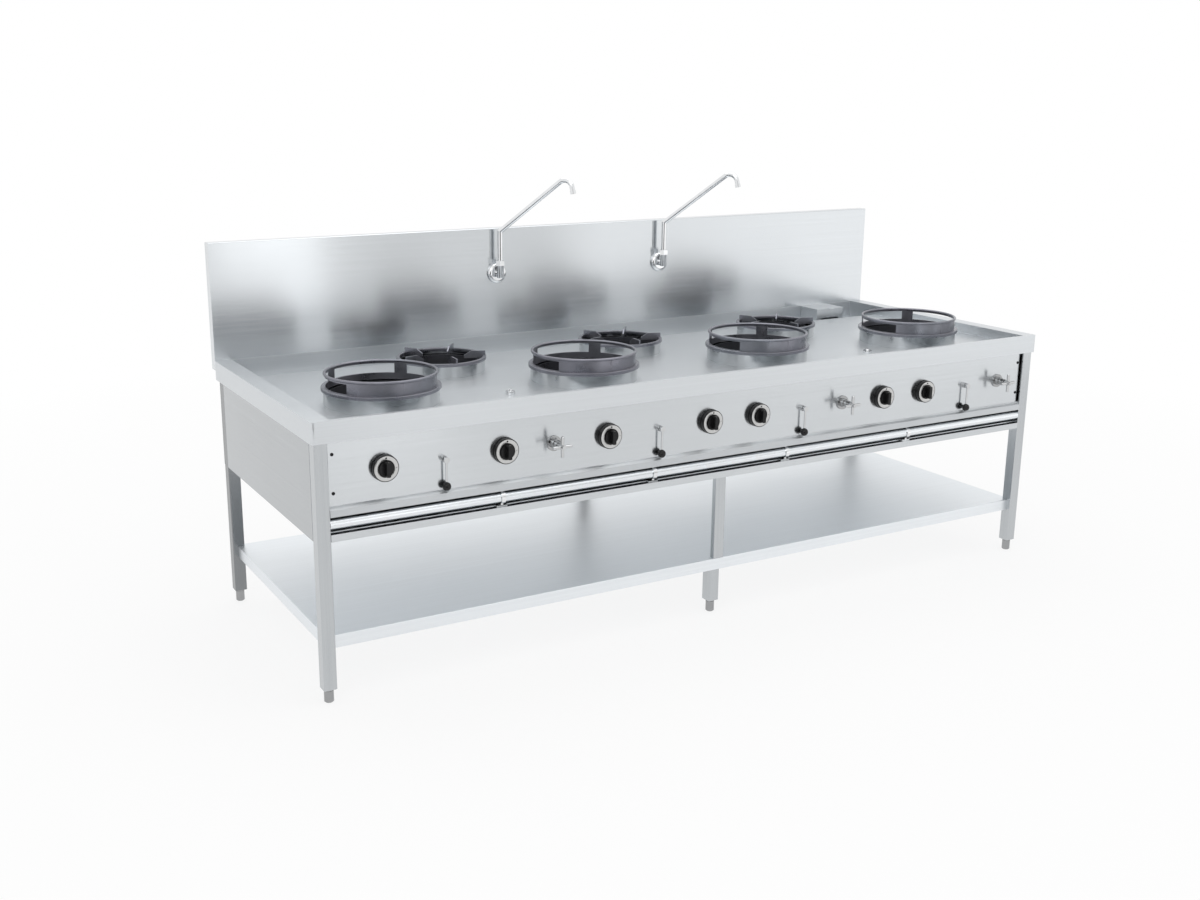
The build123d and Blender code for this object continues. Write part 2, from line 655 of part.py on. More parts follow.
control_panel.part.label = "control_panel"
export_step(control_panel.part, "parts/control_panel.step")

# Screws in the corners of the control panel
SCREW_AT = [(side * (LEG_INNER_X - SCREW_INSET), RIM_Z - drop) for side in (-1, 1) for drop in SCREW_DROPS]
with BuildPart() as panel_screws:
    with BuildSketch(facing_cook(PANEL_Y)):
        with Locations(*SCREW_AT):
            Circle(SCREW_R)
    extrude(amount=SCREW_H)
    fillet(panel_screws.edges().group_by(Axis.Y)[0], radius=SCREW_DOME)
panel_screws.part.label = "panel_screws"
export_step(panel_screws.part, "parts/panel_screws.step")

# Round rail between the front legs
RAIL_Y = FRONT_Y + RAIL_SETBACK
with BuildPart() as front_rail:
    with BuildSketch(Plane.YZ.offset(-LEG_INNER_X)):
        with Locations((RAIL_Y, RAIL_Z)):
            Circle(RAIL_R)
            Circle(RAIL_R - SHEET, mode=Mode.SUBTRACT)
    extrude(amount=2 * LEG_INNER_X)
front_rail.part.label = "front_rail"
export_step(front_rail.part, "parts/front_rail.step")

# Clamps round the rail, each on a stem with a foot on the front beam and one under the panel's return
CLAMP_R = RAIL_R + CLEARANCE + CLAMP_WALL
with BuildPart() as rail_brackets:
    for clamp_x in CLAMP_X:
        with BuildSketch(Plane.YZ.offset(clamp_x - CLAMP_W / 2)):
            with Locations((RAIL_Y, RAIL_Z)):
                Circle(CLAMP_R)
        extrude(amount=CLAMP_W)
        with BuildSketch(Plane.XY.offset(BEAM_TOP)):
            with Locations((clamp_x, RAIL_Y)):
                Rectangle(CLAMP_STEM, CLAMP_STEM)
        extrude(amount=PANEL_Z - BEAM_TOP)
        with BuildSketch(Plane.YZ.offset(clamp_x - CLAMP_W / 2)):
            with Locations((RAIL_Y, RAIL_Z)):
                Circle(RAIL_R + CLEARANCE)
        extrude(amount=CLAMP_W, mode=Mode.SUBTRACT)
        for foot_z in (BEAM_TOP, PANEL_Z - CLAMP_FOOT_H):
            with BuildSketch(Plane.XY.offset(foot_z)):
                with Locations((clamp_x, RAIL_Y)):
                    RectangleRounded(CLAMP_FOOT_L, CLAMP_FOOT_W, CLAMP_FOOT_H)
            extrude(amount=CLAMP_FOOT_H)
rail_brackets.part.label = "rail_brackets"
export_step(rail_brackets.part, "parts/rail_brackets.step")

# Collars: sheet hoops that stand on the deck round the wells
with BuildPart() as burner_collars:
    for collar_at, collar_r, collar_h in (
        (WOK_AT, WOK_COLLAR_R, COLLAR_H),
        (REAR_AT, REAR_COLLAR_R, REAR_COLLAR_H),
    ):
        with BuildSketch(Plane.XY.offset(DECK_Z)):
            with Locations(*collar_at):
                Circle(collar_r)
                Circle(collar_r - COLLAR_WALL, mode=Mode.SUBTRACT)
        extrude(amount=collar_h)
burner_collars.part.label = "burner_collars"
export_step(burner_collars.part, "parts/burner_collars.step")

# Wells: cast pots with a liner above the deck, a flange on the deck and a floor below
WELLS = [(x, WOK_Y, WOK_WELL_R, WOK_WELL_Z, COLLAR_Z - LINER_DROP) for x in WOK_X]
WELLS += [(x, REAR_Y, REAR_WELL_R, REAR_WELL_Z, REAR_COLLAR_Z - LINER_DROP) for x in REAR_X]
with BuildPart() as burner_wells:
    for well_x, well_y, well_r, floor_z, liner_z in WELLS:
        with BuildSketch(Plane((well_x, well_y, 0), x_dir=(1, 0, 0), z_dir=(0, -1, 0))):
            with BuildLine():
                Polyline(
                    (WELL_INLET_R, floor_z - WELL_WALL),
                    (well_r, floor_z - WELL_WALL),
                    (well_r, DECK_Z),
                    (well_r + FLANGE_LAP, DECK_Z),
                    (well_r + FLANGE_LAP, DECK_Z + WELL_WALL),
                    (well_r, DECK_Z + WELL_WALL),
                    (well_r, liner_z),
                    (well_r - WELL_WALL, liner_z),
                    (well_r - WELL_WALL, floor_z),
                    (WELL_INLET_R, floor_z),
                    close=True,
                )
            make_face()
        revolve(axis=Axis((well_x, well_y, 0), (0, 0, 1)))
burner_wells.part.label = "burner_wells"
export_step(burner_wells.part, "parts/burner_wells.step")

# Wok rings: lifted off for cleaning
RING_TOP = COLLAR_Z + WOK_RING_H
ROD_Z = COLLAR_Z + ROD_RISE
WINDOW_STARTS = [WINDOW_ANGLE - WINDOW_ARC / 2 + i * (WINDOW_ARC + POST_ARC) for i in (-1, 0, 1)]
for number, (ring_x, ring_y) in enumerate(WOK_AT, start=1):
    section = Plane((ring_x, ring_y, 0), x_dir=(1, 0, 0), z_dir=(0, -1, 0))
    with BuildPart() as wok_ring:
        with BuildSketch(section):
            with Locations(((WOK_RING_R + SHIELD_R) / 2, COLLAR_Z + WOK_RING_H / 2)):
                hoop = Rectangle(WOK_RING_R - SHIELD_R, WOK_RING_H)
            fillet(hoop.vertices().group_by(Axis.X)[-1], radius=WOK_RING_EDGE)
            with BuildLine():
                Polyline(
                    (SHIELD_R - SHIELD_WALL, COLLAR_Z - SHIELD_DIP),
                    (SHIELD_R, COLLAR_Z - SHIELD_DIP),
                    (SHIELD_R, ROD_Z),
                    (SHIELD_R - SHIELD_WALL, ROD_Z),
                    close=True,
                )
            make_face()
            with Locations((ROD_MID_R, ROD_Z)):
                Circle(ROD_R)
        revolve(axis=Axis((ring_x, ring_y, 0), (0, 0, 1)))
        for start in WINDOW_STARTS:
            with BuildSketch(Plane((ring_x, ring_y, RING_TOP + WINDOW_LIFT))):
                with BuildLine():
                    Polyline(*ring_arc(WOK_RING_R, start, WINDOW_ARC), close=True)
                make_face()
            extrude(amount=WINDOW_H, mode=Mode.SUBTRACT)
        with BuildSketch(Plane((ring_x, ring_y, RING_TOP))):
            with Locations((0, -SHIELD_R)):
                Rectangle(SEAM_W, 2 * SEAM_DEPTH)
        extrude(amount=ROD_Z - ROD_R - RING_TOP, mode=Mode.SUBTRACT)
    wok_ring.part.label = f"wok_ring_{number}"
    export_step(wok_ring.part, f"parts/wok_ring_{number}.step")

# Pan supports: a flat ring with fins that rise above it
PAN_RING_TOP = REAR_COLLAR_Z + PAN_RING_H
FIN_TOP = PAN_RING_TOP + FIN_RISE
for number, (ring_x, ring_y) in enumerate(REAR_AT, start=1):
    with BuildPart() as pan_support:
        with BuildSketch(Plane.XY.offset(REAR_COLLAR_Z)):
            with Locations((ring_x, ring_y)):
                Circle(PAN_RING_R)
                Circle(PAN_RING_R - PAN_RING_W, mode=Mode.SUBTRACT)
        extrude(amount=PAN_RING_H)
        for i in range(FIN_COUNT):
            angle = radians(FIN_START + i * 360.0 / FIN_COUNT)
            outward = (cos(angle), sin(angle), 0)
            across = (sin(angle), -cos(angle), 0)
            with BuildSketch(Plane((ring_x, ring_y, 0), x_dir=outward, z_dir=across)):
                with BuildLine():
                    Polyline(
                        (PAN_RING_R - PAN_RING_W / 2, REAR_COLLAR_Z),
                        (PAN_RING_R - PAN_RING_W / 4, PAN_RING_TOP),
                        (PAN_RING_R - PAN_RING_W / 4, FIN_TOP),
                        (FIN_SHOULDER_R, FIN_TOP),
                        (FIN_TIP_R, PAN_RING_TOP),
                        (FIN_TIP_R, REAR_COLLAR_Z),
                        close=True,
                    )
                make_face()
            extrude(amount=FIN_T / 2, both=True)
    pan_support.part.label = f"pan_support_{number}"
    export_step(pan_support.part, f"parts/pan_support_{number}.step")

# Wok burners: a hub, spokes and a jet ring on the floor of each well
with BuildPart() as wok_burners:
    with BuildSketch(Plane.XY.offset(WOK_WELL_Z)):
        with Locations(*WOK_AT):
            Circle(JET_RING_R)
            Circle(JET_RING_R - JET_RING_W, mode=Mode.SUBTRACT)
            with PolarLocations(0, SPOKE_COUNT, angular_range=180):
                Rectangle(2 * JET_RING_R - JET_RING_W, SPOKE_W)
    extrude(amount=JET_RING_H)
    with BuildSketch(Plane.XY.offset(WOK_WELL_Z)):
        with Locations(*WOK_AT):
            Circle(BURNER_HUB_R)
    extrude(amount=BURNER_HUB_H)
    with BuildSketch(Plane.XY.offset(WOK_WELL_Z - INLET_BOSS_H)):
        with Locations(*WOK_AT):
            Circle(INLET_BOSS_R)
    extrude(amount=INLET_BOSS_H)
    with BuildSketch(Plane.XY.offset(WOK_WELL_Z + JET_RING_H)):
        with Locations(*WOK_AT):
            with PolarLocations(JET_RING_R - JET_RING_W / 2, JET_COUNT):
                Circle(JET_R)
                Circle(JET_BORE_R, mode=Mode.SUBTRACT)
    extrude(amount=JET_H)
wok_burners.part.label = "wok_burners"
export_step(wok_burners.part, "parts/wok_burners.step")

# Rear burners: a pedestal head with flame ports under a round cap
with BuildPart() as rear_burners:
    with BuildSketch(Plane.XY.offset(REAR_WELL_Z)):
        with Locations(*REAR_AT):
            Circle(REAR_HEAD_R)
    extrude(amount=REAR_HEAD_H)
    with BuildSketch(Plane.XY.offset(REAR_WELL_Z + REAR_HEAD_H)):
        with Locations(*REAR_AT):
            Circle(REAR_CAP_R)
    extrude(amount=REAR_CAP_H)
    with BuildSketch(Plane.XY.offset(REAR_WELL_Z - INLET_BOSS_H)):
        with Locations(*REAR_AT):
            Circle(INLET_BOSS_R)
    extrude(amount=INLET_BOSS_H)
    with BuildSketch(Plane.XY.offset(REAR_WELL_Z + REAR_HEAD_H)):
        with Locations(*REAR_AT):
            with PolarLocations(REAR_HEAD_R, PORT_COUNT):
                Rectangle(REAR_HEAD_R - REAR_CAP_R, PORT_W)
    extrude(amount=-PORT_H, mode=Mode.SUBTRACT)
rear_burners.part.label = "rear_burners"
export_step(rear_burners.part, "parts/rear_burners.step")

# Igniters: ceramic rods with a thin electrode tip
WOK_IGNITER = (WOK_Y, WOK_WELL_Z, WOK_IGNITER_REACH, radians(WOK_IGNITER_ANGLE), WOK_IGNITER_RISE)
REAR_IGNITER = (REAR_Y, REAR_WELL_Z, REAR_IGNITER_REACH, radians(REAR_IGNITER_ANGLE), REAR_IGNITER_RISE)
with BuildPart() as igniters:
    for burner_x in sorted(WOK_X + REAR_X):
        burner_y, floor_z, reach, bearing, rise = WOK_IGNITER if burner_x in WOK_X else REAR_IGNITER
        rod_x = burner_x + reach * cos(bearing)
        rod_y = burner_y + reach * sin(bearing)
        tip_z = DECK_Z + rise
        with BuildSketch(Plane.XY.offset(floor_z)):
            with Locations((rod_x, rod_y)):
                Circle(IGNITER_R)
        extrude(amount=tip_z - floor_z - 2 * IGNITER_R)
        with BuildSketch(Plane.XY.offset(tip_z - 2 * IGNITER_R)):
            with Locations((rod_x, rod_y)):
                Circle(IGNITER_TIP_R)
        extrude(amount=2 * IGNITER_R)
igniters.part.label = "igniters"
export_step(igniters.part, "parts/igniters.step")

# Knob bezels: fixed black rings on the panel
with BuildPart() as knob_bezels:
    with BuildSketch(facing_cook(PANEL_Y)):
        with Locations(*[(x, CONTROL_Z) for x in KNOB_X]):
            Circle(BEZEL_R)
            Circle(NECK_R + HOLE_GAP, mode=Mode.SUBTRACT)
    extrude(amount=BEZEL_D)
knob_bezels.part.label = "knob_bezels"
export_step(knob_bezels.part, "parts/knob_bezels.step")

# Gas knobs: a disc with a dial recess, a hub, a grip bar and a spindle into the valve
KNOB_REAR_Y = PANEL_Y - BEZEL_D - KNOB_GROOVE
KNOB_FACE_Y = KNOB_REAR_Y - KNOB_D
for number, knob_x in enumerate(KNOB_X, start=1):
    with BuildPart() as gas_knob:
        with BuildSketch(facing_cook(KNOB_REAR_Y)):
            with Locations((knob_x, CONTROL_Z)):
                Circle(KNOB_R)
        extrude(amount=KNOB_D)
        chamfer(gas_knob.edges().sort_by(Axis.Y)[0], length=KNOB_EDGE)
        with BuildSketch(facing_cook(KNOB_FACE_Y)):
            with Locations((knob_x, CONTROL_Z)):
                Circle(DIAL_R)
                Circle(KNOB_HUB_R, mode=Mode.SUBTRACT)
        extrude(amount=-DIAL_RECESS, mode=Mode.SUBTRACT)
        with BuildSketch(facing_cook(KNOB_FACE_Y)):
            with Locations((knob_x, CONTROL_Z)):
                Circle(KNOB_HUB_R)
        extrude(amount=KNOB_HUB_D)
        with BuildSketch(facing_cook(KNOB_FACE_Y - KNOB_HUB_D)):
            with Locations((knob_x, CONTROL_Z)):
                RectangleRounded(GRIP_W, GRIP_L, GRIP_EDGE)
        extrude(amount=GRIP_D)
        with BuildSketch(facing_cook(KNOB_REAR_Y)):
            with Locations((knob_x, CONTROL_Z)):
                Circle(SPINDLE_R)
        extrude(amount=-(PANEL_Y + SPINDLE_DEPTH - KNOB_REAR_Y))
    gas_knob.part.label = f"gas_knob_{number}"
    export_step(gas_knob.part, f"parts/gas_knob_{number}.step")

# Gas valves: round bodies behind the panel, each with a neck that carries a spindle
with BuildPart() as gas_valves:
    with BuildSketch(facing_cook(PANEL_Y + SHEET + VALVE_D)):
        with Locations(*[(x, CONTROL_Z) for x in KNOB_X + LEVER_X]):
            Circle(VALVE_R)
    extrude(amount=VALVE_D)
    with BuildSketch(facing_cook(PANEL_Y + SHEET)):
        with Locations(*[(x, CONTROL_Z) for x in KNOB_X + LEVER_X]):
            Circle(NECK_R)
    extrude(amount=SHEET)
    with BuildSketch(facing_cook(PANEL_Y)):
        with Locations(*[(x, CONTROL_Z) for x in KNOB_X]):
            Circle(NECK_R)
    extrude(amount=NECK_D)
    with BuildSketch(facing_cook(PANEL_Y + SPINDLE_DEPTH)):
        with Locations(*[(x, CONTROL_Z) for x in KNOB_X + LEVER_X]):
            Circle(SPINDLE_R + RUNNING_FIT)
    extrude(amount=SPINDLE_DEPTH + NECK_D, mode=Mode.SUBTRACT)
gas_valves.part.label = "gas_valves"
export_step(gas_valves.part, "parts/gas_valves.step")

# Levers: a spindle with a boss, a head and a rod that hangs down to its ball
LEVER_Y = PANEL_Y - LEVER_PLANE
for number, lever_x in enumerate(LEVER_X, start=1):
    with BuildPart() as lever_rod:
        with BuildSketch(facing_cook(PANEL_Y + SPINDLE_DEPTH)):
            with Locations((lever_x, CONTROL_Z)):
                Circle(SPINDLE_R)
        extrude(amount=SPINDLE_DEPTH + LEVER_PLANE)
        with BuildSketch(facing_cook(PANEL_Y - CLEARANCE)):
            with Locations((lever_x, CONTROL_Z)):
                Circle(LEVER_BOSS_R)
        extrude(amount=LEVER_BOSS_D)
        with BuildSketch(facing_cook(LEVER_Y + LEVER_HEAD_D / 2)):
            with Locations((lever_x, CONTROL_Z)):
                Circle(LEVER_HEAD_R)
        extrude(amount=LEVER_HEAD_D)
        with BuildSketch(Plane.XY.offset(CONTROL_Z)):
            with Locations((lever_x, LEVER_Y)):
                Circle(LEVER_ROD_R)
        extrude(amount=-(LEVER_DROP - BALL_R + BALL_SEAT))
    lever_rod.part.label = f"lever_rod_{number}"
    export_step(lever_rod.part, f"parts/lever_rod_{number}.step")

    with BuildPart() as lever_ball:
        with Locations((lever_x, LEVER_Y, CONTROL_Z - LEVER_DROP)):
            Sphere(BALL_R)
        with BuildSketch(Plane.XY.offset(CONTROL_Z - LEVER_DROP + BALL_R)):
            with Locations((lever_x, LEVER_Y)):
                Circle(LEVER_ROD_R + CLEARANCE)
        extrude(amount=-BALL_SEAT, mode=Mode.SUBTRACT)
    lever_ball.part.label = f"lever_ball_{number}"
    export_step(lever_ball.part, f"parts/lever_ball_{number}.step")

# Water valves: body behind the panel, rosette and stepped bonnet in front
with BuildPart() as water_valves:
    with BuildSketch(facing_cook(PANEL_Y + SHEET + VALVE_D)):
        with Locations(*[(x, CONTROL_Z) for x in HANDLE_X]):
            Circle(VALVE_R)
    extrude(amount=VALVE_D)
    with BuildSketch(facing_cook(PANEL_Y + SHEET)):
        with Locations(*[(x, CONTROL_Z) for x in HANDLE_X]):
            Circle(NECK_R)
    extrude(amount=SHEET)
    with BuildSketch(facing_cook(PANEL_Y)):
        with Locations(*[(x, CONTROL_Z) for x in HANDLE_X]):
            Circle(ROSETTE_R)
    extrude(amount=ROSETTE_D)
    step_y = PANEL_Y - ROSETTE_D
    for step_r, step_d in BONNET_STEPS:
        with BuildSketch(facing_cook(step_y)):
            with Locations(*[(x, CONTROL_Z) for x in HANDLE_X]):
                Circle(step_r)
        extrude(amount=step_d)
        step_y -= step_d
    with BuildSketch(facing_cook(PANEL_Y + SPINDLE_DEPTH)):
        with Locations(*[(x, CONTROL_Z) for x in HANDLE_X]):
            Circle(SPINDLE_R + RUNNING_FIT)
    extrude(amount=PANEL_Y + SPINDLE_DEPTH - step_y, mode=Mode.SUBTRACT)
water_valves.part.label = "water_valves"
export_step(water_valves.part, "parts/water_valves.step")

# Cross handles: two round rods through a capped hub
CROSS_REAR_Y = step_y - CLEARANCE
CROSS_FRONT_Y = FRONT_Y - HANDLE_REACH
for number, handle_x in enumerate(HANDLE_X, start=1):
    with BuildPart() as cross_handle:
        with BuildSketch(facing_cook(CROSS_REAR_Y)):
            with Locations((handle_x, CONTROL_Z)):
                Circle(CROSS_HUB_R)
        extrude(amount=CROSS_REAR_Y - CROSS_FRONT_Y - CROSS_CAP_D)
        with BuildSketch(facing_cook(CROSS_FRONT_Y)):
            with Locations((handle_x, CONTROL_Z)):
                Circle(CROSS_CAP_R)
        extrude(amount=-CROSS_CAP_D)
        for arm_x, arm_z in ((1, 0), (0, 1)):
            hub = (handle_x, CROSS_FRONT_Y + CROSS_PLANE, CONTROL_Z)
            with BuildSketch(Plane(hub, z_dir=(arm_x, 0, arm_z))):
                Circle(CROSS_ARM_R)
            extrude(amount=CROSS_R, both=True)
        arm_tips = cross_handle.edges().group_by(Axis.X)
        chamfer((*arm_tips[0], *arm_tips[-1]), length=CROSS_END_EDGE)
        arm_tips = cross_handle.edges().group_by(Axis.Z)
        chamfer((*arm_tips[0], *arm_tips[-1]), length=CROSS_END_EDGE)
        with BuildSketch(facing_cook(CROSS_REAR_Y)):
            with Locations((handle_x, CONTROL_Z)):
                Circle(SPINDLE_R)
        extrude(amount=-(PANEL_Y + SPINDLE_DEPTH - CROSS_REAR_Y))
    cross_handle.part.label = f"cross_handle_{number}"
    export_step(cross_handle.part, f"parts/cross_handle_{number}.step")

# Gas manifold: inlet from the back, long pipe, a branch to each valve and burner feeds
VALVE_REAR_Y = PANEL_Y + SHEET + VALVE_D
MANIFOLD_Y = FRONT_Y + MANIFOLD_SETBACK
FEED_Y = PANEL_Y + SHEET + FEED_DEPTH
FEEDS = [(knob_x, x, WOK_Y, WOK_WELL_Z) for knob_x, x in zip(WOK_KNOB_X, WOK_X)]
FEEDS += [(knob_x, x, REAR_Y, REAR_WELL_Z) for knob_x, x in zip(REAR_KNOB_X, REAR_X)]
with BuildPart() as gas_manifold:
    with BuildLine():
        gas_run = FilletPolyline(
            (-MANIFOLD_END_X, FRONT_Y + INLET_SETBACK, CONTROL_Z),
            (-MANIFOLD_END_X, MANIFOLD_Y, CONTROL_Z),
            (LEVER_X[-1] + MANIFOLD_PAST_LEVER, MANIFOLD_Y, CONTROL_Z),
            radius=2 * MANIFOLD_R,
        )
    with BuildSketch(Plane(gas_run @ 0, z_dir=gas_run % 0)):
        Circle(MANIFOLD_R)
    sweep(path=gas_run)
    with BuildSketch(facing_cook(FRONT_Y + INLET_SETBACK)):
        with Locations((-MANIFOLD_END_X, CONTROL_Z)):
            Circle(GAS_INLET_R)
    extrude(amount=-INLET_L)
    with BuildSketch(facing_cook(MANIFOLD_Y)):
        with Locations(*[(x, CONTROL_Z) for x in KNOB_X + LEVER_X]):
            Circle(BRANCH_R)
    extrude(amount=MANIFOLD_Y - VALVE_REAR_Y)
    for knob_x, burner_x, burner_y, well_z in FEEDS:
        with BuildLine():
            feed = FilletPolyline(
                (knob_x, FEED_Y, CONTROL_Z - VALVE_R),
                (knob_x, FEED_Y, FEED_Z),
                (burner_x, burner_y, FEED_Z),
                (burner_x, burner_y, well_z - INLET_BOSS_H),
                radius=FEED_BEND,
            )
        with BuildSketch(Plane(feed @ 0, z_dir=feed % 0)):
            Circle(FEED_R)
        sweep(path=feed)
gas_manifold.part.label = "gas_manifold"
export_step(gas_manifold.part, "parts/gas_manifold.step")

# Water header: inlet from the back, long pipe, valve risers, tap feeds and nozzle feeds
HEADER_Y = FRONT_Y + HEADER_SETBACK
RISER_Y = SPLASH_Y + RISER_R
WATER_RUNS = [(HEADER_R, 2 * HEADER_R, (
    (MANIFOLD_END_X, FRONT_Y + INLET_SETBACK, HEADER_Z),
    (MANIFOLD_END_X, HEADER_Y, HEADER_Z),
    (NOZZLE_X[0] - HEADER_PAST_NOZZLE, HEADER_Y, HEADER_Z),
))]
for handle_x in HANDLE_X:
    WATER_RUNS.append((RISER_R, RISER_BEND, (
        (handle_x, FEED_Y, CONTROL_Z - VALVE_R),
        (handle_x, FEED_Y, HEADER_Z),
        (handle_x, HEADER_Y, HEADER_Z),
    )))
for tap_x in TAP_X:
    WATER_RUNS.append((RISER_R, RISER_BEND, (
        (tap_x, HEADER_Y, HEADER_Z),
        (tap_x, RISER_Y, HEADER_Z),
        (tap_x, RISER_Y, TAP_Z),
        (tap_x, TRAY_REAR_Y + TAP_TAIL, TAP_Z),
    )))
for nozzle_x, nozzle_setback in NOZZLE_AT:
    WATER_RUNS.append((RISER_R, RISER_BEND, (
        (nozzle_x, HEADER_Y, HEADER_Z),
        (nozzle_x, FRONT_Y + nozzle_setback, HEADER_Z),
        (nozzle_x, FRONT_Y + nozzle_setback, DECK_Z - NOZZLE_H),
    )))
with BuildPart() as water_header:
    for run_r, bend_r, run_points in WATER_RUNS:
        with BuildLine():
            water_run = FilletPolyline(*run_points, radius=bend_r)
        with BuildSketch(Plane(water_run @ 0, z_dir=water_run % 0)):
            Circle(run_r)
        sweep(path=water_run)
    with BuildSketch(facing_cook(FRONT_Y + INLET_SETBACK)):
        with Locations((MANIFOLD_END_X, HEADER_Z)):
            Circle(WATER_INLET_R)
    extrude(amount=-INLET_L)
water_header.part.label = "water_header"
export_step(water_header.part, "parts/water_header.step")

# Deck nozzles: low flanged buttons with a tail through the deck
with BuildPart() as deck_nozzles:
    nozzle_spots = [(x, FRONT_Y + setback) for x, setback in NOZZLE_AT]
    with BuildSketch(Plane.XY.offset(DECK_Z)):
        with Locations(*nozzle_spots):
            Circle(NOZZLE_R)
    extrude(amount=NOZZLE_H)
    with BuildSketch(Plane.XY.offset(DECK_Z + NOZZLE_H)):
        with Locations(*nozzle_spots):
            Circle(NOZZLE_TIP_R)
    extrude(amount=NOZZLE_TIP_H)
    with BuildSketch(Plane.XY.offset(DECK_Z)):
        with Locations(*nozzle_spots):
            Circle(NOZZLE_HOLE_R)
    extrude(amount=-NOZZLE_H)
    chamfer(deck_nozzles.edges().group_by(Axis.Z)[-1], length=NOZZLE_EDGE)
deck_nozzles.part.label = "deck_nozzles"
export_step(deck_nozzles.part, "parts/deck_nozzles.step")

# Tap bodies: domed rosette, stub, upright body and nut round the spout's seat
with BuildPart() as tap_bodies:
    with BuildSketch(facing_cook(TRAY_REAR_Y)):
        with Locations(*[(x, TAP_Z) for x in TAP_X]):
            Circle(ROSETTE_DOME_R)
    extrude(amount=ROSETTE_DOME_D)
    fillet(tap_bodies.edges().group_by(Axis.Y)[0], radius=ROSETTE_DOME_EDGE)
    with BuildSketch(facing_cook(TRAY_REAR_Y + TAP_TAIL)):
        with Locations(*[(x, TAP_Z) for x in TAP_X]):
            Circle(TAP_STUB_R)
    extrude(amount=TAP_TAIL + TAP_REACH)
    with BuildSketch(Plane.XY.offset(TAP_Z - TAP_BODY_DROP)):
        with Locations(*[(x, TAP_Y) for x in TAP_X]):
            Circle(TAP_BODY_R)
    extrude(amount=TAP_BODY_DROP + TAP_BODY_RISE)
    chamfer(tap_bodies.edges().group_by(Axis.Z)[0], length=TAP_BODY_EDGE)
    with BuildSketch(Plane.XY.offset(TAP_Z + TAP_BODY_RISE)):
        with Locations(*[(x, TAP_Y) for x in TAP_X]):
            RegularPolygon(TAP_NUT_R, 6)
    extrude(amount=TAP_NUT_H)
    with BuildSketch(Plane.XY.offset(TAP_Z + SPOUT_SEAT)):
        with Locations(*[(x, TAP_Y) for x in TAP_X]):
            Circle(SPOUT_R + RUNNING_FIT)
    extrude(amount=TAP_BODY_RISE + TAP_NUT_H - SPOUT_SEAT, mode=Mode.SUBTRACT)
tap_bodies.part.label = "tap_bodies"
export_step(tap_bodies.part, "parts/tap_bodies.step")

# Spouts: riser with a mitred elbow, sloping arm, hooked end and the aerator on it
AHEAD = (sin(radians(SPOUT_YAW)), -cos(radians(SPOUT_YAW)), 0)
BESIDE = (-cos(radians(SPOUT_YAW)), -sin(radians(SPOUT_YAW)), 0)
for number, tap_x in enumerate(TAP_X, start=1):
    with BuildPart() as spout:
        with BuildLine(Plane((tap_x, TAP_Y, 0), x_dir=AHEAD, z_dir=BESIDE)):
            riser = Line((0, TAP_Z + SPOUT_SEAT), (0, SPOUT_MITRE_Z))
            arm = PolarLine(riser @ 1, ARM_LENGTH, angle=ARM_ANGLE)
            hook = JernArc(start=arm @ 1, tangent=arm % 1, radius=HOOK_R, arc_size=-HOOK_ARC)
            hook_end = Line(hook @ 1, hook @ 1 + HOOK_END * (hook % 1))
        with BuildSketch(Plane.XY.offset(TAP_Z + SPOUT_SEAT)):
            with Locations((tap_x, TAP_Y)):
                Circle(SPOUT_R)
                Circle(SPOUT_R - SPOUT_WALL, mode=Mode.SUBTRACT)
        sweep(transition=Transition.RIGHT)
        with BuildSketch(Plane(hook_end @ 1, z_dir=hook_end % 1)):
            Circle(AERATOR_R)
            Circle(SPOUT_R - SPOUT_WALL, mode=Mode.SUBTRACT)
        extrude(amount=AERATOR_L)
    spout.part.label = f"spout_{number}"
    export_step(spout.part, f"parts/spout_{number}.step")

# Drain pipe: flanged at the gutter floor, with a stop ring above its plain spigot
with BuildPart() as drain_pipe:
    with BuildSketch(Plane.XY.offset(DRAIN_Z)):
        with Locations((DRAIN_X, FRONT_Y + DRAIN_SETBACK)):
            Circle(DRAIN_R)
    extrude(amount=GUTTER_Z - DRAIN_Z)
    with BuildSketch(Plane.XY.offset(GUTTER_Z)):
        with Locations((DRAIN_X, FRONT_Y + DRAIN_SETBACK)):
            Circle(DRAIN_FLANGE_R)
    extrude(amount=SHEET)
    with BuildSketch(Plane.XY.offset(DRAIN_Z + DRAIN_SPIGOT)):
        with Locations((DRAIN_X, FRONT_Y + DRAIN_SETBACK)):
            Circle(DRAIN_STOP_R)
    extrude(amount=DRAIN_STOP_H)
    with BuildSketch(Plane.XY.offset(DRAIN_Z)):
        with Locations((DRAIN_X, FRONT_Y + DRAIN_SETBACK)):
            Circle(DRAIN_R - DRAIN_WALL)
    extrude(amount=GUTTER_Z - DRAIN_Z + SHEET, mode=Mode.SUBTRACT)
drain_pipe.part.label = "drain_pipe"
export_step(drain_pipe.part, "parts/drain_pipe.step")

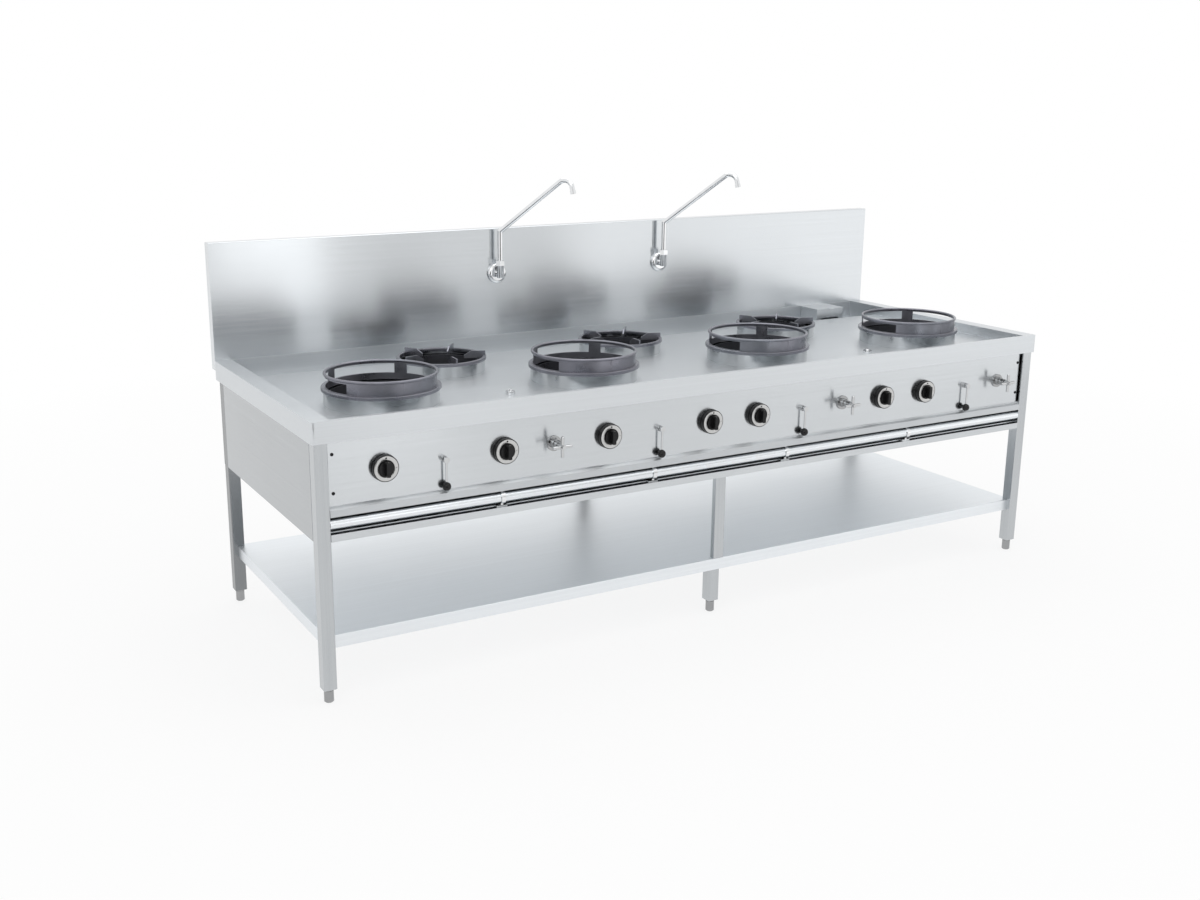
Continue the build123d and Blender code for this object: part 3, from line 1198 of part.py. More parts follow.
# Drain cover: a folded hood that stands in the gutter, with water slots and a tab
with BuildPart() as drain_cover:
    with BuildSketch(Plane.XY.offset(GUTTER_Z)):
        with Locations((DRAIN_X, COVER_Y)):
            Rectangle(COVER_W, COVER_D)
    extrude(amount=COVER_Z - GUTTER_Z)
    with BuildSketch(Plane.XY.offset(GUTTER_Z)):
        with Locations((DRAIN_X, COVER_Y + SHEET)):
            Rectangle(COVER_W - 2 * SHEET, COVER_D)
    extrude(amount=COVER_Z - GUTTER_Z - SHEET, mode=Mode.SUBTRACT)
    with BuildSketch(facing_cook(FRONT_Y + COVER_SETBACK + SHEET)):
        with Locations((DRAIN_X, GUTTER_Z + COVER_SLOT_H / 2)):
            Rectangle(COVER_SLOT_W, COVER_SLOT_H)
    extrude(amount=SHEET, mode=Mode.SUBTRACT)
    with BuildSketch(Plane.XY.offset(COVER_Z - SHEET)):
        with Locations((DRAIN_X, FRONT_Y + COVER_SETBACK - COVER_TAB_D / 2)):
            Rectangle(COVER_TAB_W, COVER_TAB_D)
    extrude(amount=SHEET)
drain_cover.part.label = "drain_cover"
export_step(drain_cover.part, "parts/drain_cover.step")
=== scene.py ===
"""Looks of a freestanding gas wok range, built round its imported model.

Metres, +Z up, in the model's own frame: +X is the cook's right and the cook stands on the -Y side.
"""
import math

import bmesh
import bpy
import numpy as np
from bpy.props import FloatProperty, FloatVectorProperty, PointerProperty
from mathutils import Euler, Matrix, Vector


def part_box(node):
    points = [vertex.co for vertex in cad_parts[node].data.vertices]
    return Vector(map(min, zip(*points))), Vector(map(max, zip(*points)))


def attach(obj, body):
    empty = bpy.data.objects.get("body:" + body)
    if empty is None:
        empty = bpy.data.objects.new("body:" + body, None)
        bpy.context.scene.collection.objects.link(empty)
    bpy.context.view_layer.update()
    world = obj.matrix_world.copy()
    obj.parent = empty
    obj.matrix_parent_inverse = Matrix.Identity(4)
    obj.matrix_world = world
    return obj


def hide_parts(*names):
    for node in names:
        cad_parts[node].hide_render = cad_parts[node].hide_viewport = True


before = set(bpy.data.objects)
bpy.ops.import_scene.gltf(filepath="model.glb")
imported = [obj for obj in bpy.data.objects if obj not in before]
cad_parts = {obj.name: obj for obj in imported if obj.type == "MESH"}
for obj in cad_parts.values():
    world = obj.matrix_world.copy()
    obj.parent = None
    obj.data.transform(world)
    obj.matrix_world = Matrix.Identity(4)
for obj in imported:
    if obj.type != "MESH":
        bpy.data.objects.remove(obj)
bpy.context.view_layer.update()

bl_info = {
    "name": "Wok Range Looks",
    "version": (1, 0, 0),
    "blender": (4, 5, 0),
    "location": "View3D > Sidebar > Wok Range",
    "description": "Finishes, small trim and studio for a gas wok range",
    "category": "Object",
}

MM = 0.001
WOK_COUNT = 4
REAR_COUNT = 3
KNOB_COUNT = 7
LEVER_COUNT = 4
HANDLE_COUNT = 3
TAP_COUNT = 2

# Rounding of small edges
FITTING_EDGE = 0.3 * MM
CASTING_EDGE = 0.4 * MM
KNOB_EDGE = 0.5 * MM
SHARP_ANGLE = math.radians(40)

# How fast brush lines change along X, Y and Z, per metre
ALONG, ROUND, ACROSS = 4.0, 6.0, 900.0
LENGTHWISE = (ALONG, ACROSS, ACROSS)
SIDEWAYS = (ACROSS, ALONG, ACROSS)
UPRIGHT = (ACROSS, ACROSS, ALONG)
HOOPWISE = (ROUND, ROUND, ACROSS)


# ---------------------------------------------------------------- sizes, colours and light levels


class TrimSizes(bpy.types.PropertyGroup):
    """Sizes of the small trim that the model's pieces carry."""

    edge: FloatProperty(
        name="Sheet edge", description="Rounding along the folds and cut edges of the sheet steel",
        default=0.6 * MM, min=0, unit="LENGTH")
    fold: FloatProperty(
        name="Fold radius", description="Rounding along the folds of the top tray",
        default=1.6 * MM, min=0, unit="LENGTH")
    panel_foot: FloatProperty(
        name="Panel foot",
        description="Height of the matt foot of the control panel, with its slope",
        default=30.5 * MM, min=0, unit="LENGTH")
    dial_inner: FloatProperty(
        name="Dial inner radius", description="Hole of the dial plate on a gas knob",
        default=25.3 * MM, min=0, unit="LENGTH")
    dial_outer: FloatProperty(
        name="Dial outer radius", description="Outer edge of the dial plate on a gas knob",
        default=36.6 * MM, min=0, unit="LENGTH")
    dial_depth: FloatProperty(
        name="Dial depth", description="How far the dial plate lies behind the front of the grip",
        default=19.6 * MM, min=0, unit="LENGTH")
    screw_radius: FloatProperty(
        name="Screw head radius", description="Radius of the socket screws in the control panel",
        default=5.0 * MM, min=0, unit="LENGTH")


class Finishes(bpy.types.PropertyGroup):
    """Colours and gloss of the range's materials."""

    steel: FloatVectorProperty(
        name="Sheet steel", description="Brushed stainless sheet", subtype="COLOR", size=3,
        default=(0.6, 0.622, 0.64), min=0, max=1)
    steel_roughness: FloatProperty(
        name="Sheet roughness", description="Roughness of the brushed sheet", subtype="FACTOR",
        default=0.2, min=0, max=1)
    chrome: FloatVectorProperty(
        name="Chrome", description="Taps, handles, levers, clamps and feet", subtype="COLOR",
        size=3, default=(0.8, 0.81, 0.82), min=0, max=1)
    iron: FloatVectorProperty(
        name="Burnt iron", description="Wok rings, pan supports and burners", subtype="COLOR",
        size=3, default=(0.215, 0.226, 0.255), min=0, max=1)
    plastic: FloatVectorProperty(
        name="Black plastic", description="Knobs and lever balls", subtype="COLOR", size=3,
        default=(0.006, 0.006, 0.0065), min=0, max=1)
    dial: FloatVectorProperty(
        name="Dial plate", description="Turned aluminium dial", subtype="COLOR", size=3,
        default=(0.58, 0.58, 0.575), min=0, max=1)


class Studio(bpy.types.PropertyGroup):
    """Light levels of the plain studio."""

    surround: FloatProperty(
        name="Surround", description="Light that the white surround gives to matt surfaces",
        default=0.8, min=0)
    key: FloatProperty(
        name="Key light", description="Power of the large lamp over the front left", default=22.0,
        min=0, unit="POWER")
    top: FloatProperty(
        name="Top light", description="Power of the lamp over the deck", default=60.0, min=0,
        unit="POWER")
    strip: FloatProperty(
        name="Strip light", description="Power of the upright strip before the left end",
        default=2.7, min=0, unit="POWER")
    side: FloatProperty(
        name="Side light", description="Power of the upright box before the right end", default=4.2,
        min=0, unit="POWER")


# ---------------------------------------------------------------- shader maths


class Wire:
    """An output socket on which +, - and * make shader maths nodes, so that 1 - mask works."""

    def __init__(self, graph, socket):
        self.graph = graph
        self.socket = socket

    def _maths(self, operation, left, right):
        """A Math node for numbers, or a Vector Math node where either side is a vector."""
        vector = any(isinstance(v, Wire) and v.socket.type == "VECTOR" for v in (left, right))
        kind = "ShaderNodeVectorMath" if vector else "ShaderNodeMath"
        return self.graph.node(kind, {"operation": operation}, {0: left, 1: right})

    def __add__(self, other):
        return self._maths("ADD", self, other)

    def __radd__(self, other):
        return self._maths("ADD", other, self)

    def __sub__(self, other):
        return self._maths("SUBTRACT", self, other)

    def __rsub__(self, other):
        return self._maths("SUBTRACT", other, self)

    def __mul__(self, other):
        return self._maths("MULTIPLY", self, other)

    def __rmul__(self, other):
        return self._maths("MULTIPLY", other, self)


class Graph:
    """The node tree of one material or world, written as expressions."""

    def __init__(self, owner):
        owner.use_nodes = True
        self.owner = owner
        self.tree = owner.node_tree
        self.tree.nodes.clear()

    def node(self, kind, settings=None, sockets=None, out=0):
        """Any node: its settings are set first, then the values or links of its sockets.

        A colour gets full alpha, and a number stands for all parts of a vector.
        """
        made = self.tree.nodes.new(kind)
        for key, value in (settings or {}).items():
            if key == "stops":
                for stop, (place, colour) in zip(made.color_ramp.elements, value):
                    stop.position = place
                    stop.color = (*colour, 1.0)
            else:
                setattr(made, key, value)
        for key, value in (sockets or {}).items():
            socket = made.inputs[key]
            if isinstance(value, Wire):
                self.tree.links.new(value.socket, socket)
            elif hasattr(socket.default_value, "__len__"):
                length = len(socket.default_value)
                value = (value,) * length if isinstance(value, (int, float)) else (*value, 1.0)
                socket.default_value = value[:length]
            else:
                socket.default_value = value
        return Wire(self, made.outputs[out]) if made.outputs else None

    def place(self):
        """Object coordinates in metres."""
        return self.node("ShaderNodeTexCoord", out="Object")

    def noise(self, vector, scale, detail=2.0, roughness=0.5):
        """A number from 0 to 1 that drifts over the surface."""
        return self.node("ShaderNodeTexNoise", {}, {
            "Vector": vector, "Scale": scale, "Detail": detail, "Roughness": roughness})

    def mix(self, factor, first, second):
        """Colour between two colours."""
        sockets = {0: factor, 6: first, 7: second}
        return self.node("ShaderNodeMix", {"data_type": "RGBA"}, sockets, 2)

    def spread(self, value, low, high, to_low=0.0, to_high=1.0):
        """Stretches a number's range from low..high to to_low..to_high, and holds it there."""
        return self.node("ShaderNodeMapRange", {"clamp": True}, {
            "Value": value, "From Min": low, "From Max": high, "To Min": to_low, "To Max": to_high})

    def bump(self, height, distance, strength):
        """A normal from a height that counts in multiples of the distance."""
        return self.node("ShaderNodeBump", {}, {
            "Height": height, "Distance": distance, "Strength": strength})

    def seen(self):
        """1 or more for rays from the camera, glossy or transmission rays, and 0 for all others."""
        kinds = ("Is Camera Ray", "Is Glossy Ray", "Is Transmission Ray")
        camera, glossy, through = (self.node("ShaderNodeLightPath", out=kind) for kind in kinds)
        return camera + glossy + through

    def surface(self, **sockets):
        """The Principled shader, wired to the output."""
        names = {key.replace("_", " "): value for key, value in sockets.items()}
        shader = self.node("ShaderNodeBsdfPrincipled", {}, names, "BSDF")
        self.node("ShaderNodeOutputMaterial", {}, {"Surface": shader})
        return self.owner


def material(name):
    """An empty graph for a new material."""
    return Graph(bpy.data.materials.new(name))


def shade(colour, share):
    """The colour made lighter or darker by a share."""
    return tuple(min(1.0, c * share) for c in colour)


# ---------------------------------------------------------------- materials


BRUSH_DEPTH = 0.008 * MM
BRUSH_STRENGTH = 0.4
# Rates of the broad brush lines and of the rub marks, from those of the fine lines
BROAD_SHARE = 0.12
RUB_SHARE, RUB_RATE = 0.01, 1.0
# How far the brush lines take the colour and the roughness down and up
COLOUR_SWING = (0.07, 0.06)
GLOSS_SWING = (0.04, 0.05)
BLASTED = 0.3
WAVE_RATE = 11.0
UPRIGHT_SMEAR = {"smear": 0.75, "turn": 0.25}


def brushed_steel(
        name, grain, colour, roughness, tone_share=1.0, smear=0.0, turn=0.0, scratch=1.0, matt_below=None,
        dents=0.0):
    """Stainless sheet with brush lines along one axis, cloudy polish and faint rub marks.

    grain gives how fast the brush lines change along X, Y and Z, per metre, and scratch how strong
    they are. smear draws reflections out level along the sheet, or upright where turn is a quarter.
    matt_below, if given, is the height under which the sheet is bead-blasted. dents is the depth of
    the slight waves that rolling leaves in a sheet, as a multiple of the brush lines' depth. The
    share that scales the whole colour is painted light and shade: it makes this copy of the steel
    lighter or darker for the light that falls on its part.
    """
    g = material(name)
    place = g.place()
    fine = g.noise(place * grain, scale=1.0, detail=3.0, roughness=0.65)
    broad = g.noise(place * tuple(v * BROAD_SHARE for v in grain), scale=1.0, detail=2.0)
    cloud = g.noise(place, scale=2.3, detail=3.0, roughness=0.55)
    smudge = place * tuple(v * RUB_SHARE + RUB_RATE for v in grain)
    rubbed = g.noise(smudge, scale=1.6, detail=4.0, roughness=0.7)
    streak = fine * 0.6 + broad * 0.4
    darker, lighter = (swing * scratch for swing in COLOUR_SWING)
    glossier, rougher = (swing * scratch for swing in GLOSS_SWING)
    # Painted light and shade: both brush-line colours are scaled by the share given for this part
    colour_low = shade(colour, (1 - darker) * tone_share)
    colour_high = shade(colour, (1 + lighter) * tone_share)
    base = g.mix(g.spread(streak * 0.7 + cloud * 0.3, 0.35, 0.65), colour_low, colour_high)
    gloss = g.spread(streak, 0.3, 0.7, roughness - glossier, roughness + rougher)
    gloss = gloss + g.spread(cloud, 0.35, 0.7, -0.02, 0.03) + g.spread(rubbed, 0.6, 0.8, 0.0, 0.05)
    if matt_below is not None:
        level = g.node("ShaderNodeSeparateXYZ", {}, {0: place}, "Z")
        gloss = gloss + g.spread(level, matt_below - MM, matt_below, BLASTED, 0.0)
    height = streak + g.noise(place, scale=WAVE_RATE, detail=1.0) * dents if dents else streak
    relief = g.bump(height, BRUSH_DEPTH, BRUSH_STRENGTH * scratch)
    return g.surface(
        Base_Color=base, Metallic=1.0, Roughness=gloss, Normal=relief, Anisotropic=smear,
        Anisotropic_Rotation=turn)


def polished_chrome(name, colour):
    """Chrome plate with faint water marks."""
    g = material(name)
    marks = g.noise(g.place(), scale=35.0, detail=2.0, roughness=0.5)
    base = g.mix(g.spread(marks, 0.4, 0.7), colour, shade(colour, 0.93))
    gloss = g.spread(marks, 0.45, 0.75, 0.04, 0.09)
    return g.surface(Base_Color=base, Metallic=1.0, Roughness=gloss)


TINT_SHIFT = (3.1, 1.7, 0.4)
HEAT_TINT = (1.04, 0.98, 1.0)
SOOT = (0.02, 0.019, 0.02)


def burnt_iron(name, colour, soot):
    """Heat-stained iron: blue grey with faint warmer patches, soot by a share and a grainy skin."""
    g = material(name)
    place = g.place()
    grain = g.noise(place, scale=700.0, detail=4.0, roughness=0.65)
    patch = g.noise(place, scale=9.0, detail=3.0, roughness=0.6)
    tone_share = g.noise(place + TINT_SHIFT, scale=5.0, detail=2.0)
    warm = tuple(c * share for c, share in zip(colour, HEAT_TINT))
    heat = g.node("ShaderNodeValToRGB", {"stops": ((0.38, colour), (0.62, warm))}, {"Fac": tone_share})
    sooted = g.mix(g.spread(patch, 0.45, 0.7, 0.0, soot), heat, SOOT)
    base = g.mix(g.spread(grain, 0.35, 0.65, 0.0, 0.25), sooted, shade(colour, 1.6))
    gloss = g.spread(patch, 0.35, 0.65, 0.24, 0.4) + g.spread(grain, 0.3, 0.7, -0.04, 0.06)
    metal = g.spread(patch, 0.45, 0.75, 0.85, 0.45)
    return g.surface(
        Base_Color=base, Metallic=metal, Roughness=gloss, Normal=g.bump(grain, 0.08 * MM, 0.5))


def moulded_plastic(name, colour, roughness):
    """Black moulded plastic with a fine spark texture and slightly rubbed patches."""
    g = material(name)
    place = g.place()
    spark = g.noise(place, scale=2600.0, detail=2.0)
    rub = g.noise(place, scale=60.0, detail=3.0, roughness=0.6)
    base = g.mix(g.spread(rub, 0.5, 0.8, 0.0, 0.5), colour, shade(colour, 2.2))
    gloss = g.spread(rub, 0.35, 0.7, roughness - 0.04, roughness + 0.1)
    return g.surface(
        Base_Color=base, Roughness=gloss, Normal=g.bump(spark, 0.03 * MM, 0.5),
        Specular_IOR_Level=0.3)


RING_PITCH = 3.2
RING_GROOVE = 0.22


def turned_dial(name, colour):
    """Aluminium turned on a lathe: fine rings round the plate's own centre and engraved circles.

    The plate's attribute "reach" holds each point's distance from the centre, in millimetres.
    """
    g = material(name)
    reach = g.node("ShaderNodeAttribute", {"attribute_name": "reach"}, out="Fac")
    turned = g.node("ShaderNodeTexNoise", {"noise_dimensions": "1D"}, {
        "W": reach, "Scale": 7.0, "Detail": 3.0})
    marks = g.noise(g.place(), scale=300.0, detail=2.0)
    cut = g.node("ShaderNodeMath", {"operation": "PINGPONG"}, {0: reach, 1: RING_PITCH})
    groove = 1 - g.spread(cut, 0.0, RING_GROOVE)
    bright = g.mix(g.spread(turned, 0.3, 0.7), shade(colour, 0.9), shade(colour, 1.08))
    base = g.mix(groove * 0.45, bright, shade(colour, 0.45))
    gloss = g.spread(turned, 0.3, 0.7, 0.26, 0.36) + g.spread(marks, 0.5, 0.8, 0.0, 0.06)
    return g.surface(
        Base_Color=base, Metallic=1.0, Roughness=gloss, Normal=g.bump(turned, 0.02 * MM, 0.5))


def glazed_ceramic(name):
    """White glazed ceramic, sooted in patches near the flame."""
    g = material(name)
    soot = g.noise(g.place(), scale=70.0, detail=3.0, roughness=0.6)
    base = g.mix(g.spread(soot, 0.5, 0.78, 0.0, 0.7), (0.8, 0.78, 0.73), (0.12, 0.1, 0.09))
    gloss = g.spread(soot, 0.4, 0.7, 0.14, 0.5)
    glaze = g.spread(soot, 0.4, 0.6, 0.6, 0.0)
    return g.surface(Base_Color=base, Roughness=gloss, Coat_Weight=glaze)


TOOL_MARKS = (2.0, 1500.0, 2.0)


def machined_brass(name):
    """Brass as it comes off the machine, dulled in patches."""
    g = material(name)
    place = g.place()
    tarnish = g.noise(place, scale=40.0, detail=3.0, roughness=0.6)
    tool = g.noise(place * TOOL_MARKS, scale=1.0, detail=2.0)
    base = g.mix(g.spread(tarnish, 0.4, 0.7), (0.72, 0.52, 0.24), (0.42, 0.28, 0.12))
    gloss = g.spread(tarnish, 0.35, 0.7, 0.22, 0.42)
    return g.surface(
        Base_Color=base, Metallic=1.0, Roughness=gloss, Normal=g.bump(tool, 0.03 * MM, 0.5))


def zinc_pipe(name):
    """Zinc-coated pipe with spangle and dull run marks."""
    g = material(name)
    place = g.place()
    spangle = g.node("ShaderNodeTexVoronoi", {}, {"Vector": place, "Scale": 110.0}, "Color")
    level = g.node("ShaderNodeSeparateColor", {}, {"Color": spangle})
    dull = g.noise(place, scale=14.0, detail=3.0, roughness=0.6)
    base = g.mix(g.spread(level, 0.0, 1.0), (0.42, 0.44, 0.45), (0.58, 0.6, 0.61))
    base = g.mix(g.spread(dull, 0.5, 0.75, 0.0, 0.5), base, (0.34, 0.34, 0.33))
    gloss = g.spread(dull, 0.3, 0.7, 0.34, 0.55)
    return g.surface(Base_Color=base, Metallic=0.9, Roughness=gloss)


def blackened_steel(name):
    """Black-oxide socket screws with a rubbed rim."""
    g = material(name)
    rub = g.noise(g.place(), scale=900.0, detail=2.0)
    base = g.mix(g.spread(rub, 0.45, 0.7), (0.012, 0.012, 0.013), (0.05, 0.05, 0.052))
    return g.surface(Base_Color=base, Metallic=0.7, Roughness=g.spread(rub, 0.3, 0.7, 0.3, 0.5))


# ---------------------------------------------------------------- surfaces worked out with numpy


SAME_POINT = 1e-7
NO_LENGTH = 1e-8


def grid_mesh(name, points, close_rows=False, close_columns=True, reach=None):
    """A mesh from a grid of points: each four neighbours make a face, and closed sides join up."""
    rows, columns = points.shape[:2]
    index = np.arange(rows * columns).reshape(rows, columns)
    near = index if close_rows else index[:-1]
    far = np.roll(index, -1, axis=0) if close_rows else index[1:]
    if close_columns:
        faces = np.stack([near, np.roll(near, -1, axis=1), np.roll(far, -1, axis=1), far], axis=-1)
    else:
        faces = np.stack([near[:, :-1], near[:, 1:], far[:, 1:], far[:, :-1]], axis=-1)
    mesh = bpy.data.meshes.new(name)
    mesh.from_pydata(points.reshape(-1, 3).tolist(), [], faces.reshape(-1, 4).tolist())
    if reach is not None:
        mesh.attributes.new("reach", "FLOAT", "POINT").data.foreach_set("value", reach.ravel())
    work = bmesh.new()
    work.from_mesh(mesh)
    bmesh.ops.remove_doubles(work, verts=work.verts, dist=SAME_POINT)
    bmesh.ops.dissolve_degenerate(work, edges=work.edges, dist=NO_LENGTH)
    bmesh.ops.recalc_face_normals(work, faces=work.faces)
    work.to_mesh(mesh)
    work.free()
    mesh.shade_smooth()
    piece = bpy.data.objects.new(name, mesh)
    bpy.context.scene.collection.objects.link(piece)
    return piece


def axes_about(axis):
    """Two unit vectors square to the axis and to each other, as numpy rows."""
    axis = Vector(axis).normalized()
    side = axis.orthogonal().normalized()
    return np.array(side), np.array(axis.cross(side)), np.array(axis)


def lathe(name, centre, axis, profile, steps, rim=None, closed=False, reach=False):
    """A turned surface: point(s, t) = centre + r(s) * w(t) * (cos t * a + sin t * b) + h(s) * axis.

    profile lists (r, h) in millimetres, and rim, if given, is w: the outline's radius as a share
    of r for each angle, used where a profile point carries a third value from 0, round, to 1,
    shaped.
    """
    a, b, n = axes_about(axis)
    rows = np.array([(*p, 0.0)[:3] for p in profile])
    angle = np.linspace(0, 2 * math.pi, steps, endpoint=False)
    share = np.ones((len(rows), steps))
    if rim is not None:
        share = 1 - rows[:, 2:3] * (1 - rim(angle)[None, :])
    r = rows[:, 0:1] * share * MM
    across = np.cos(angle)[None, :, None] * a + np.sin(angle)[None, :, None] * b
    points = np.array(centre) + r[..., None] * across + (rows[:, 1] * MM)[:, None, None] * n
    return grid_mesh(name, points, close_rows=closed, reach=r / MM if reach else None)


def hexagon(angle):
    """Radius of a six-sided outline as a share of its corner radius: cos 30 over the cosine of the
    angle measured from the nearest side's middle."""
    sector = np.mod(angle, math.pi / 3) - math.pi / 6
    return math.cos(math.pi / 6) / np.cos(sector)


# Share of a pad's outline, and share of its height there
DOME = ((1.0, 0.0), (1.0, 0.6), (0.92, 0.85), (0.7, 0.95), (0.35, 1.0), (0.0, 1.0))
PAD_STEPS = 48


def pad(name, centre, along, across, out, length, width, height, power=4.0):
    """A small raised mark: a superellipse |x / a|^p + |y / b|^p = 1 that domes to its middle."""
    level, lift = np.array(DOME).T
    angle = np.linspace(0, 2 * math.pi, PAD_STEPS, endpoint=False)
    x = np.sign(np.cos(angle)) * np.abs(np.cos(angle)) ** (2 / power) * length / 2
    y = np.sign(np.sin(angle)) * np.abs(np.sin(angle)) ** (2 / power) * width / 2
    flat = x[:, None] * np.array(along) + y[:, None] * np.array(across)
    points = level[:, None, None] * flat + (lift * height)[:, None, None] * np.array(out)
    return grid_mesh(name, points * MM + np.array(centre))


def finish(piece, look, body):
    """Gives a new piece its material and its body."""
    piece.data.materials.append(look)
    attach(piece, body)
    return piece


# ---------------------------------------------------------------- carried-over nodes


JOIN = 1e-6


def dress(name, look, edge=0.0):
    """Gives a node of the model its material and, where asked, rounds its edges."""
    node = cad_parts[name]
    for slot in node.material_slots:
        slot.link = "OBJECT"
        slot.material = look
    if edge > 0:
        weld = node.modifiers.new("Join", "WELD")
        weld.merge_threshold = JOIN
        bevel = node.modifiers.new("Edges", "BEVEL")
        bevel.width = edge
        bevel.segments = 2
        bevel.limit_method = "ANGLE"
        bevel.angle_limit = SHARP_ANGLE
        bevel.harden_normals = True
    return node


def middle(name):
    """The middle of a node's box."""
    low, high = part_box(name)
    return (low + high) / 2


class RangeOperator:
    """What the range's operators share: they run on the scene and can be undone."""

    bl_options = {"REGISTER", "UNDO"}

    def done(self, pieces):
        """Ends the operator, or stops it if it made nothing."""
        if not pieces:
            raise RuntimeError(f"{self.bl_idname} made nothing")
        return {"FINISHED"}


class WOKRANGE_OT_sheet_metal(RangeOperator, bpy.types.Operator):
    """Brush the tray, backsplash, panels, shelf, drain cover and collars"""

    bl_idname = "wokrange.sheet_metal"
    bl_label = "Sheet Metal"

    LEVEL_MATT = 0.16
    SHELF_MATT = 0.2
    COLLAR_POLISH = 0.08
    COLLAR_DENTS = 5000.0

    def execute(self, context):
        sizes, looks = context.scene.wokrange_sizes, context.scene.wokrange_finishes
        steel, gloss = looks.steel, looks.steel_roughness
        matt = gloss + self.LEVEL_MATT
        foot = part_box("control_panel")[0].z + sizes.panel_foot
        # Painted light: the tray and drain cover are made a tenth lighter than the plain steel
        level = brushed_steel("level_sheet", LENGTHWISE, steel, matt, tone_share=1.1, scratch=0.6)
        # Painted light: the shelf and bottom panel are made about a third lighter than the plain
        # steel
        low = brushed_steel(
            "shelf_sheet", LENGTHWISE, steel, gloss + self.SHELF_MATT, tone_share=1.36, scratch=0.6)
        upright = brushed_steel(
            "upright_sheet", LENGTHWISE, steel, gloss, scratch=0.6, **UPRIGHT_SMEAR)
        # Painted light: the backsplash is made slightly lighter than the plain steel
        splash = brushed_steel(
            "splash_sheet", LENGTHWISE, steel, gloss, tone_share=1.08, scratch=0.6, **UPRIGHT_SMEAR)
        facing = brushed_steel(
            "panel_sheet", LENGTHWISE, steel, gloss, scratch=0.5, matt_below=foot, **UPRIGHT_SMEAR)
        # Painted shade: the side panels are made about a quarter darker than the plain steel
        side = brushed_steel("sideways_sheet", SIDEWAYS, steel, gloss, tone_share=0.73, **UPRIGHT_SMEAR)
        # Painted shade: the burner collars are made a fifth darker than the plain steel
        hoop = brushed_steel(
            "rolled_sheet", HOOPWISE, steel, gloss - self.COLLAR_POLISH, tone_share=0.8, scratch=0.35,
            dents=self.COLLAR_DENTS)
        sheets = {
            "backsplash": splash, "shelf": low, "bottom_panel": low, "rear_panel": upright,
            "control_panel": facing, "side_panels": side, "burner_collars": hoop,
        }
        pieces = [dress(name, look) for name, look in sheets.items()]
        pieces += [dress("top_tray", level, sizes.fold), dress("drain_cover", level, sizes.edge)]
        return self.done(pieces)


class WOKRANGE_OT_frame_tubes(RangeOperator, bpy.types.Operator):
    """Brush the legs, beams and rail, and polish the rail's clamps and the feet"""

    bl_idname = "wokrange.frame_tubes"
    bl_label = "Frame Tubes"

    RAIL_ROUGHNESS = 0.24
    # Painted shade: the feet's chrome is made less than half as light as the plain chrome
    FOOT_PAINTED_SHADE = 0.45

    def execute(self, context):
        sizes, looks = context.scene.wokrange_sizes, context.scene.wokrange_finishes
        steel, gloss = looks.steel, looks.steel_roughness
        # Painted shade: the front legs are made slightly darker than the plain steel
        front = brushed_steel("tube_upright", UPRIGHT, steel, gloss, tone_share=0.86, smear=0.5)
        # Painted shade: the rear legs are made less than half as light as the plain steel
        rear = brushed_steel("rear_tube", UPRIGHT, steel, gloss, tone_share=0.42, smear=0.5)
        level = brushed_steel("tube_level", LENGTHWISE, steel, gloss)
        # Painted light: the rail is made about a third lighter than the plain steel
        satin = brushed_steel(
            "rail_tube", LENGTHWISE, steel, self.RAIL_ROUGHNESS, tone_share=1.3, scratch=0.3)
        chrome = polished_chrome("rail_chrome", looks.chrome)
        turned = polished_chrome("foot_chrome", shade(looks.chrome, self.FOOT_PAINTED_SHADE))
        pieces = [dress("front_legs", front), dress("rear_legs", rear), dress("front_rail", satin)]
        pieces += [dress("frame_beams", level, sizes.edge), dress("rail_brackets", chrome)]
        for row in ("front", "rear"):
            for place in ("left", "middle", "right"):
                pieces.append(dress(f"{row}_{place}_foot", turned))
        return self.done(pieces)


class WOKRANGE_OT_burners(RangeOperator, bpy.types.Operator):
    """Burn and soot the wells, burners, wok rings and pan supports, and glaze the igniters"""

    bl_idname = "wokrange.burners"
    bl_label = "Burners"

    RING_SOOT = 0.25
    CAST_SOOT = 0.7
    CAST_SHADE = 0.55

    def execute(self, context):
        looks = context.scene.wokrange_finishes
        iron = burnt_iron("burnt_iron", looks.iron, self.RING_SOOT)
        cast = burnt_iron("sooted_cast_iron", shade(looks.iron, self.CAST_SHADE), self.CAST_SOOT)
        pieces = [dress(f"wok_ring_{i + 1}", iron) for i in range(WOK_COUNT)]
        pieces += [dress(f"pan_support_{i + 1}", iron, CASTING_EDGE) for i in range(REAR_COUNT)]
        pieces += [dress(name, cast) for name in ("burner_wells", "wok_burners", "rear_burners")]
        pieces += [dress("igniters", glazed_ceramic("igniter_ceramic"))]
        return self.done(pieces)


